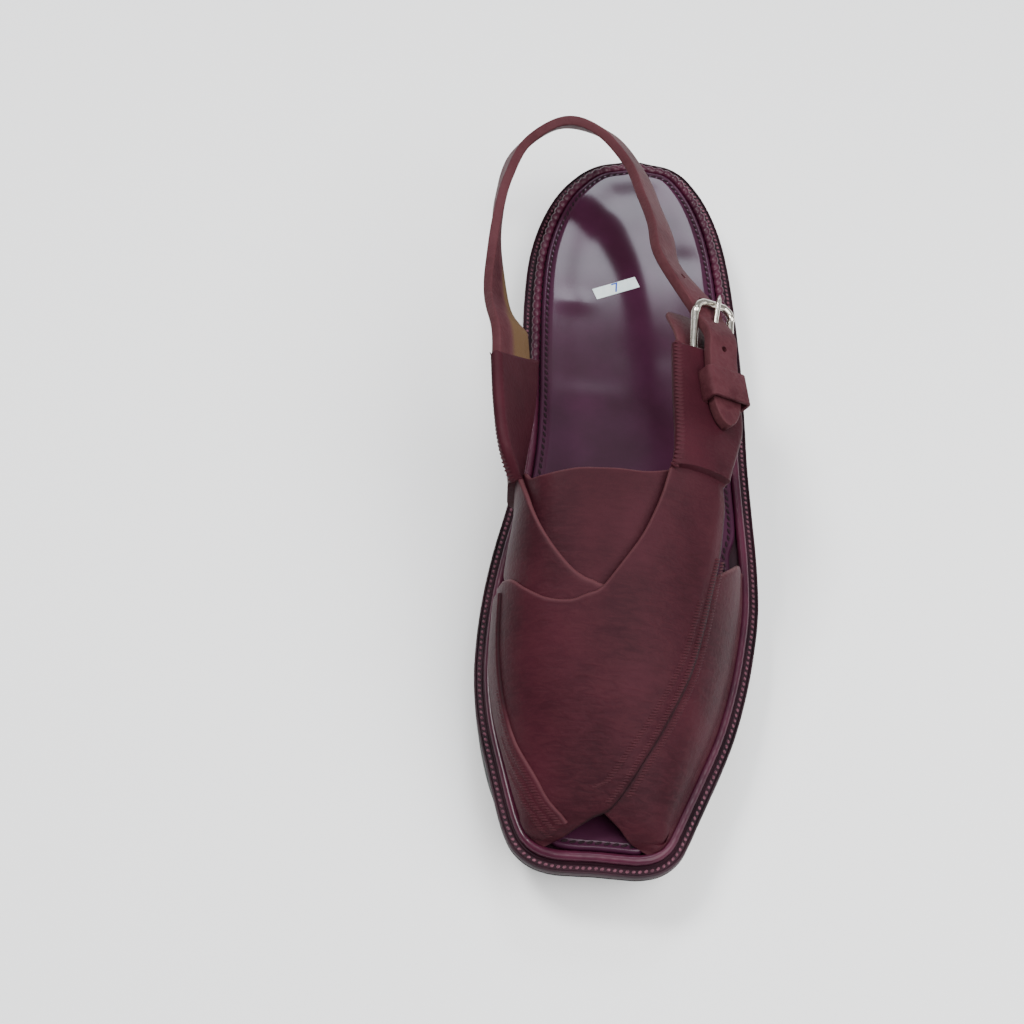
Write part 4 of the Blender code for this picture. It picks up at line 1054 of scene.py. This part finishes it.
def tabRibRow(name, band, inset):
    # ribs on the rolled edge of a folded end, tinted pale as a painted highlight
    face = band["high"][band["tabStart"] + 3:-3]
    column = face.shape[1] - 1 - inset
    line = face[:, column]
    points, along = spacedAlong(line, stitching["tabRibSpacing"])
    nearest = np.linalg.norm(points[:, None] - line[None], axis=2).argmin(axis=1)
    across = (face[:, column + 1] - face[:, column - 2])[nearest]
    across -= along * (across * along).sum(axis=1)[:, None]
    across /= np.linalg.norm(across, axis=1)[:, None]
    normal = np.cross(along, across)
    out = (normal * band["normals"][band["tabStart"] + 10, column]).sum(axis=1) < 0
    normal[out] *= -1
    layStitches(name, points, across, normal, stitching["tabRibSize"], vampLeather, 0.0,
                stitching["tabRibTone"])


# Rib rows: shift from the edge, rise of the face they lie on, span of the edge
lap = shoe["lap"]
face = shoe["wall"] - stitching["ribSink"]
skivedFace = shoe["wall"] + bands["skiveStep"] - lap + stitching["ribLift"]
for name, line, shift, lift, spanFrom, spanTo in (
        ("inner_rib_row", outerBandFront[3:], -0.0016, (0.0, face), 0.07, 0.80),
        ("outer_rib_row", outerBandFront[3:], 0.0021, (lap, skivedFace), 0.03, 0.80),
        ("outer_second_rib_row", outerBandFront[3:], 0.0054, (lap, face), 0.05, 0.66),
        ("panel_rib_row_0", panelTop, 0.0022, (lap, face + panel["step"]), 0.03, 0.62),
        ("panel_rib_row_1", panelTop, 0.0047, (lap, face + panel["step"]), 0.03, 0.46),
        ("panel_rib_row_2", panelTop, 0.0072, (lap, face + panel["step"]), 0.03, 0.34)):
    ribRow(name, line, shift, lift, spanFrom, spanTo)
for index, band in enumerate((outerBand, innerBand)):
    tabRibRow("tab_rib_row_%d" % index, band, stitching["tabRibInset"])

print("stage: stitches laid")


# Folded ends, strap and buckle
fittings = {
    "strapWidth": 0.0130, "strapThickness": 0.0035, "strapSeat": 0.37, "slingSeat": 0.74,
    "strapEdge": 0.0006, "tailLength": 0.0330, "tailPoint": 0.0120, "rootWidening": 0.0040,
    "rootLength": 0.036, "bareLength": 0.058, "frames": 300,
    "holeSpacing": 0.0122, "holeDiameter": 0.0021,
    "holeSteps": (-2, -1, 0, 1), "prongHole": 1.35, "punchLength": 0.012, "tailNarrowing": 0.08,
    "keeperLength": 0.0115, "keeperWall": 0.0014, "keeperPlace": 0.0180, "keeperCorner": 0.0019,
    "keeperEdge": 0.0004,
    "guardWall": 0.0014, "guardWidth": 0.0168, "guardTip": 0.011, "guardEdge": 0.0005,
    "guardSide": 0.0036,
    "wireDiameter": 0.0026, "prongDiameter": 0.0018,
    "buckleLength": 0.0190, "legSeat": 0.0040,
}
# The strap's tone: its pale cut edges, partly painted highlight, and the bare flesh side that narrows
# away from the root
strapTone = {"edgeWidth": 0.0008, "edgeFade": 0.0006, "edgeTone": 0.35, "rootLength": 0.040,
             "rootTone": 0.65, "bareStart": 0.0035, "bareFall": 0.0065, "bareFade": 0.0016,
             "bareEnd": 0.08, "skin": 0.0003}
tabThickness = shoe["wall"] + bands["tabStep"]
buckleHalf = fittings["strapWidth"] / 2 * 0.93 + 3 * shoe["gap"] + 0.0012
# Strap's centre round the heel: across, along, up, lean of its upper edge in degrees
slingLine = (
    (-0.487, 0.645, 0.995, -30.0), (-0.509, 0.710, 0.940, -13.0), (-0.521, 0.780, 0.880, 3.0),
    (-0.512, 0.850, 0.845, 16.0), (-0.458, 0.922, 0.825, 29.0), (-0.300, 0.973, 0.815, 38.0),
    (-0.125, 0.955, 0.825, 39.0), (0.005, 0.891, 0.857, 36.0), (0.066, 0.823, 0.928, 37.0),
    (0.108, 0.765, 1.010, 39.0), (0.140, 0.704, 1.070, 42.0),
)
buckleLine = ((1.00, -0.75, 0.0022), (0.72, -0.45, 0.0012), (0.40, 0.35, 0.0004), (0.12, 0.75, 0.0))


def tabFrame(band, across, height):
    # points, width and outward directions along a folded end, last row first
    n = band["normals"][band["tabStart"]:]
    grid = band["grid"][band["tabStart"]:]
    face = grid + n * (band["standOff"] + height * tabThickness)
    column = np.interp(across, band["shares"][-1], np.arange(grid.shape[1]))
    k = int(column)
    f = column - k
    points = (face[:, k] * (1 - f) + face[:, k + 1] * f)[::-1]
    width = (face[:, -1] - face[:, 0])[::-1]
    width = width / np.linalg.norm(width, axis=1)[:, None]
    outward = (n[:, k] * (1 - f) + n[:, k + 1] * f)[::-1]
    outward = outward - width * (outward * width).sum(axis=1)[:, None]
    return points, width, outward / np.linalg.norm(outward, axis=1)[:, None]


seatPoints, seatWidth, seatOut = tabFrame(outerBand, fittings["strapSeat"], 1.0)
seatTravel = np.r_[0, np.cumsum(np.linalg.norm(np.diff(seatPoints, axis=0), axis=1))]


def bucklePlace(along, out, side=0.0):
    # along past the tab's end, out from its face, side towards the instep
    if along > 0:
        back = seatPoints[0] - seatPoints[6]
        back /= np.linalg.norm(back)
        base, w, o = seatPoints[0] + back * along, seatWidth[0], seatOut[3]
    else:
        base, w, o = [np.array([np.interp(-along, seatTravel, line[:, i]) for i in range(3)])
                      for line in (seatPoints, seatWidth, seatOut)]
        w = w / np.linalg.norm(w)
        o = o / np.linalg.norm(o)
    return base + o * out + w * side, w, o


def stripFrames(rows, count, square=None):
    # evenly spaced centres, width and face directions through rows of place and width
    line = smoothLine(np.array([np.r_[place, w * 0.02] for place, w in rows]), count, 40)
    centre = line[:, :3]
    along = frameAlong(centre, False)
    square = np.ones(count) if square is None else square
    width = line[:, 3:] - along * ((line[:, 3:] * along).sum(axis=1) * square)[:, None]
    width /= np.linalg.norm(width, axis=1)[:, None]
    face = np.cross(along, width)
    return centre, width, face / np.linalg.norm(face, axis=1)[:, None]


def leatherStrip(name, frames, halfWidths, halfThickness, edge, slot, toneOf):
    # one closed strip of strap leather with round edges
    centre, width, face = frames
    arcs = []
    for corner in range(4):
        for turn in (0, 30, 60, 90):
            a = math.radians(90 * corner + turn)
            arcs.append((corner, math.cos(a), math.sin(a)))
    signs = ((1, 1), (-1, 1), (-1, -1), (1, -1))
    verts = []
    section = []
    for c, w, f, half in zip(centre, width, face, halfWidths):
        r = min(edge, half * 0.9)
        for index, (corner, ca, sa) in enumerate(arcs):
            u = signs[corner][0] * (half - r) + r * ca
            v = signs[corner][1] * (halfThickness - edge) + edge * sa
            verts.append(c + w * u + f * v)
            section.append((u, v))
            if index in (3, 11):
                for share in (0.25, 0.5, 0.75):
                    u = signs[corner][0] * (half - r) * (1 - 2 * share)
                    v = signs[corner][1] * halfThickness
                    verts.append(c + w * u + f * v)
                    section.append((u, v))
    sides = len(verts) // len(centre)
    faces = loopWalls(len(centre), sides)
    faces.append(tuple(range(sides)))
    faces.append(tuple(range((len(centre) - 1) * sides, len(centre) * sides)))
    tone = toneOf(np.array(section).reshape(len(centre), sides, 2))
    return addPiece(name, verts, faces, strapLeather, slot, tone, 60)


def makeStrap():
    spec = fittings
    points, width, outward = tabFrame(innerBand, spec["slingSeat"], 0.5)
    away = points[0] - points[6]
    away /= np.linalg.norm(away)
    rows = [(points[0] - away * 0.003, width[0]),
            (points[0] + away * 3 * spec["strapThickness"], width[0])]
    table = np.array([row[:3] for row in slingLine])
    table = table * (shoe["ballWidth"], shoe["length"], shoe["instepHeight"]) + (0, toeTip, 0)
    for place, step, row in zip(table, np.gradient(table, axis=0), slingLine):
        step = step / np.linalg.norm(step)
        inward = np.cross(step, (0, 0, 1.0))
        inward /= np.linalg.norm(inward)
        lean = math.radians(row[3])
        rows.append((place, np.cross(inward, step) * math.cos(lean) + inward * math.sin(lean)))
    for along, out, side in buckleLine:
        rows.append(bucklePlace(along * spec["buckleLength"], out * spec["strapThickness"], side)[:2])
    for share in (0.15, 0.4, 0.7, 1.0):
        rows.append(bucklePlace(-share * spec["tailLength"],
                                shoe["gap"] + spec["strapThickness"] / 2)[:2])
    count = spec["frames"]
    centre, width, face = stripFrames(rows, count, easeUp(np.arange(count) / 24))
    travel = np.r_[0, np.cumsum(np.linalg.norm(np.diff(centre, axis=0), axis=1))]
    left = travel[-1] - travel
    widen = spec["rootWidening"] * easeUp(1 - travel / spec["rootLength"])
    # the root widens towards the foot alone, so its centre moves down by as much
    centre = centre - width * widen[:, None]
    tip = np.clip(1 - left / spec["tailPoint"], 0, 1)
    narrow = 1 - spec["tailNarrowing"] * easeUp((travel / travel[-1] - 0.35) / 0.25)
    halves = (spec["strapWidth"] / 2 * narrow + widen) * np.sqrt(np.clip(1 - tip ** 1.7, 0.006, 1))

    # pale cut edges, partly painted highlight, and the raw flesh side bare near the root
    def toneOf(section):
        u = section[..., 0]
        tones = strapTone
        share = (travel / spec["bareLength"])[:, None]
        side = easeUp((np.abs(u) - (halves[:, None] - tones["edgeWidth"])) / tones["edgeFade"])
        root = easeUp(1 - travel / tones["rootLength"])[:, None]
        bareTo = tones["bareStart"] - tones["bareFall"] * share
        bare = easeUp((bareTo - u) / tones["bareFade"]) * easeUp((1 - share) / tones["bareEnd"])
        bare = bare * (section[..., 1] > spec["strapThickness"] / 2 - tones["skin"])
        return np.maximum(side * tones["edgeTone"] + side * root * (u < 0) * tones["rootTone"], 2 * bare)

    strap = leatherStrip("sling_strap_leather", (centre, width, face), halves,
                         spec["strapThickness"] / 2, spec["strapEdge"], "sling_strap", toneOf)
    root, tipPoint = prongPoints()
    lineHere = root[None] + (tipPoint - root)[None] * np.linspace(0, 1, 60)[:, None]
    gaps = np.linalg.norm(centre[:, None] - lineHere[None], axis=2)
    middle = int(gaps.min(axis=1).argmin())
    bpy.ops.object.select_all(action="DESELECT")
    punches = []
    for step in spec["holeSteps"]:
        k = int(np.abs(travel - travel[middle] - step * spec["holeSpacing"]).argmin())
        bpy.ops.mesh.primitive_cylinder_add(vertices=20, radius=spec["holeDiameter"] / 2,
                                            depth=spec["punchLength"], location=centre[k])
        punch = bpy.context.object
        punch.rotation_mode = "QUATERNION"
        punch.rotation_quaternion = Vector(face[k]).to_track_quat("Z", "Y")
        if step == 0:
            punch.rotation_quaternion = Vector(tipPoint - root).to_track_quat("Z", "Y")
            punch.scale = (spec["prongHole"], spec["prongHole"], 1.0)
        punches.append(punch)
    for punch in punches:
        cutHole = strap.modifiers.new("hole", "BOOLEAN")
        cutHole.operation = "DIFFERENCE"
        cutHole.solver = "EXACT"
        cutHole.object = punch
        bpy.context.view_layer.objects.active = strap
        bpy.ops.object.modifier_apply(modifier=cutHole.name)
    for punch in punches:
        bpy.data.objects.remove(punch, do_unlink=True)
    strap.data.shade_smooth()
    strap.data.set_sharp_from_angle(angle=math.radians(50))


def prongPoints():
    root = bucklePlace(shoe["gap"] + fittings["prongDiameter"] / 2, -tabThickness / 2)[0]
    overArch = (archHeight() + (fittings["wireDiameter"] + fittings["prongDiameter"]) / 2
                + shoe["gap"] / 2)
    slope = (overArch + tabThickness / 2) / (fittings["buckleLength"] - fittings["wireDiameter"] / 2)
    tip = bucklePlace(fittings["buckleLength"] + 0.0020, overArch + slope * 0.0036)[0]
    return root, tip


def archHeight():
    return -0.25 * fittings["strapThickness"] + shoe["gap"] + 0.0012


def makeBuckle():
    half = buckleHalf
    corner = half * 0.62
    length = fittings["buckleLength"]
    sides = []
    for side in (-1, 1):
        mouth = bucklePlace(1e-6, -tabThickness / 2, side * half)[0]
        back = bucklePlace(0.001, 0)[0] - bucklePlace(1e-6, 0)[0]
        leg = [mouth - back * fittings["legSeat"] * 1000, mouth]
        for along in (0.25, 0.45, 1 - corner / length):
            out = -tabThickness / 2 + (archHeight() + tabThickness / 2) * along
            leg.append(bucklePlace(along * length, out, side * half)[0])
        for turn in range(10, 90, 10):
            a = math.radians(turn)
            leg.append(bucklePlace(length - corner + corner * math.sin(a), archHeight(),
                                   side * (half - corner * (1 - math.cos(a))))[0])
        sides.append(leg)
    path = smoothLine(np.array(sides[0] + sides[1][::-1]), 140)
    wire = fittings["wireDiameter"] / 2
    up = np.cross(bucklePlace(0.001, 0)[0] - bucklePlace(1e-6, 0)[0], bucklePlace(1e-6, 0)[1])
    sweptTube("buckle_frame_wire", path, np.full(len(path), wire), up[None] / np.linalg.norm(up), 18,
              False, nickelPlate, "buckle_frame")
    root, tip = prongPoints()
    shares = np.linspace(0, 1, 40)
    line = root + (tip - root) * shares[:, None]
    radii = fittings["prongDiameter"] / 2 * (1 - 0.45 * easeUp((shares - 0.85) / 0.15))
    radii[-3:] *= (0.9, 0.7, 0.35)
    sweptTube("buckle_prong_wire", line, radii, np.array([[0.3, 0.9, 0.1]]), 16, False, nickelPlate,
              "buckle_prong")


def makeKeeper():
    # a short loop of leather over the strap's tail
    spec = fittings
    wide = spec["strapWidth"] + 2 * shoe["gap"] + 2 * spec["keeperWall"]
    high = spec["strapThickness"] + 3 * shoe["gap"] + 2 * spec["keeperWall"]
    bpy.ops.object.select_all(action="DESELECT")
    bpy.ops.mesh.primitive_cube_add(size=1)
    keeper = bpy.context.object
    keeper.name = "keeper_loop_leather"
    bpy.ops.object.mode_set(mode="EDIT")
    bpy.ops.mesh.select_all(action="SELECT")
    bpy.ops.transform.resize(value=(wide, spec["keeperLength"], high))
    bpy.ops.mesh.select_all(action="DESELECT")
    work = bmesh.from_edit_mesh(keeper.data)
    for face in work.faces:
        face.select = abs(face.normal.y) > 0.9
    bmesh.update_edit_mesh(keeper.data)
    bpy.ops.mesh.delete(type="ONLY_FACE")
    work = bmesh.from_edit_mesh(keeper.data)
    for edge in work.edges:
        a, b = edge.verts
        edge.select = abs(a.co.y - b.co.y) > 0.001
    bmesh.update_edit_mesh(keeper.data)
    bpy.ops.mesh.bevel(offset=spec["keeperCorner"], segments=5, affect="EDGES")
    bpy.ops.object.mode_set(mode="OBJECT")
    for kind, values in (("SOLIDIFY", {"thickness": spec["keeperWall"], "offset": -1}),
                         ("BEVEL", {"width": spec["keeperEdge"], "segments": 3})):
        step = keeper.modifiers.new(kind.lower(), kind)
        for key, value in values.items():
            setattr(step, key, value)
        bpy.ops.object.modifier_apply(modifier=step.name)
    middle = high / 2 - spec["keeperWall"] * 0.85
    origin, w, o = bucklePlace(-spec["keeperPlace"], middle)
    along = np.cross(o, w)
    keeper.matrix_world = Matrix((tuple(w), tuple(along), tuple(o))).transposed().to_4x4()
    keeper.location = origin
    bpy.ops.object.transform_apply(location=True, rotation=True, scale=True)
    bpy.ops.object.shade_smooth_by_angle(angle=math.radians(50))
    keeper.data.materials.append(strapLeather)
    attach(keeper, "root")
    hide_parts("keeper_loop")


def makeGuard():
    spec = fittings
    depth = tabThickness + shoe["gap"] + spec["guardWall"] / 2
    rows = []
    for along, drop in ((-0.35, 0.0), (0.0, 0.0), (0.4, -0.7), (0.8, -2.6), (1.12, -5.0), (1.22, -6.2)):
        rows.append(bucklePlace(along * spec["buckleLength"], drop * spec["guardWall"] - depth,
                                spec["guardSide"])[:2])
    frames = stripFrames(rows, 90)
    travel = np.r_[0, np.cumsum(np.linalg.norm(np.diff(frames[0], axis=0), axis=1))]
    tip = np.clip(1 - (travel[-1] - travel) / spec["guardTip"], 0, 1)
    halves = spec["guardWidth"] / 2 * np.sqrt(np.clip(1 - tip ** 2, 0.004, 1))
    # pale cut edges, partly painted highlight
    leatherStrip("buckle_guard_leather", frames, halves, spec["guardWall"] / 2, spec["guardEdge"],
                 "buckle_guard", lambda section: easeUp((np.abs(section[..., 0])
                                                         - (halves[:, None] - 0.0007)) / 0.0005))


makeStrap()
makeBuckle()
makeKeeper()
makeGuard()

# Size label stuck in the heel seat, with a plain number
label = {"centre": (-0.0034, -0.0264), "length": 0.0172, "width": 0.0050, "angle": 24.0,
         "lift": 0.00002, "thickness": 0.00016, "number": "7", "numberSize": 0.0060,
         "inkLift": 0.00021, "inkThickness": 0.00006}


def makeLabel():
    bpy.ops.object.select_all(action="DESELECT")
    bpy.ops.mesh.primitive_grid_add(x_subdivisions=16, y_subdivisions=6, size=1)
    paper = bpy.context.object
    paper.name = "size_label"
    bpy.ops.object.mode_set(mode="EDIT")
    bpy.ops.mesh.select_all(action="SELECT")
    bpy.ops.transform.resize(value=(label["length"], label["width"], 1))
    bpy.ops.object.mode_set(mode="OBJECT")
    bpy.ops.object.select_all(action="DESELECT")
    bpy.ops.object.text_add()
    number = bpy.context.object
    number.name = "size_label_number"
    number.data.body = label["number"]
    number.data.size = label["numberSize"]
    number.data.align_x = "CENTER"
    number.data.align_y = "CENTER"
    bpy.ops.object.convert(target="MESH")
    for piece, lift, thickness, finish in (
            (paper, label["lift"], label["thickness"], labelPaper),
            (number, label["inkLift"], label["inkThickness"], labelInk)):
        bpy.ops.object.select_all(action="DESELECT")
        piece.select_set(True)
        bpy.context.view_layer.objects.active = piece
        piece.rotation_euler = (0, 0, math.radians(label["angle"]))
        piece.location = (*label["centre"], 0)
        bpy.ops.object.transform_apply(location=True, rotation=True, scale=True)
        flat = np.array([v.co[:2] for v in piece.data.vertices])
        for vertex, z in zip(piece.data.vertices, footHeight(flat)):
            vertex.co.z = z + lift
        step = piece.modifiers.new("solidify", "SOLIDIFY")
        step.thickness = thickness
        step.offset = 1
        bpy.ops.object.modifier_apply(modifier=step.name)
        piece.data.materials.clear()
        piece.data.materials.append(finish)
        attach(piece, "root")


makeLabel()
print("stage: fittings made")

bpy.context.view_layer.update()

floorSize = 3.0
bpy.ops.object.select_all(action="DESELECT")
bpy.ops.mesh.primitive_plane_add(size=floorSize, location=(0, 0, 0))
floor = bpy.context.object
floor.name = "studio_floor"
floorPaint, _, floorShader = newMaterial("matt_white_floor_paint", {"Roughness": 0.9})
floorShader.inputs["Base Color"].default_value = linearColour("F2F2F2")
floor.data.materials.append(floorPaint)

# Soft studio light: key from the medial side, a far cool one from behind, a broad fill
lighting = {
    "key": {"location": (-0.46, 0.14, 1.00), "size": 0.30, "watts": 11.0, "colour": (1.0, 1.0, 1.0)},
    "back": {"location": (0.05, 2.68, 3.00), "size": 0.85, "watts": 44.0, "colour": (0.84, 0.90, 1.0)},
    "fill": {"location": (0.50, -0.40, 0.95), "size": 1.1, "watts": 24.0, "colour": (1.0, 1.0, 1.0)},
    "aim": (0.0, -0.10, 0.03),
    "world": 0.40,
}
for lampName in ("key", "back", "fill"):
    spec = lighting[lampName]
    lamp = bpy.data.lights.new(lampName + "_softbox", "AREA")
    lamp.shape = "SQUARE"
    lamp.size = spec["size"]
    lamp.energy = spec["watts"]
    lamp.color = spec["colour"]
    holder = bpy.data.objects.new(lampName + "_softbox", lamp)
    holder.location = spec["location"]
    target = np.array(lighting["aim"]) - np.array(spec["location"])
    flat = math.hypot(target[0], target[1])
    holder.rotation_euler = (math.atan2(flat, -target[2]), 0, math.atan2(-target[0], target[1]))
    bpy.context.scene.collection.objects.link(holder)
world = bpy.data.worlds.new("soft_room")
world.use_nodes = True
world.node_tree.nodes["Background"].inputs["Color"].default_value = (1, 1, 1, 1)
world.node_tree.nodes["Background"].inputs["Strength"].default_value = lighting["world"]
bpy.context.scene.world = world

# The photograph's viewing angle
view = {"location": (-0.01698, -0.36440, 0.45319), "pitch": 29.2, "heading": 4.337, "lens": 50.27}
cameraData = bpy.data.cameras.new("studio_camera")
cameraData.lens = view["lens"]
cameraData.sensor_width = 36
cameraData.clip_start = 0.01
camera = bpy.data.objects.new("studio_camera", cameraData)
camera.location = view["location"]
camera.rotation_euler = (math.radians(view["pitch"]), 0, math.radians(view["heading"]))
bpy.context.scene.collection.objects.link(camera)
bpy.context.scene.camera = camera

print("stage: scene complete")
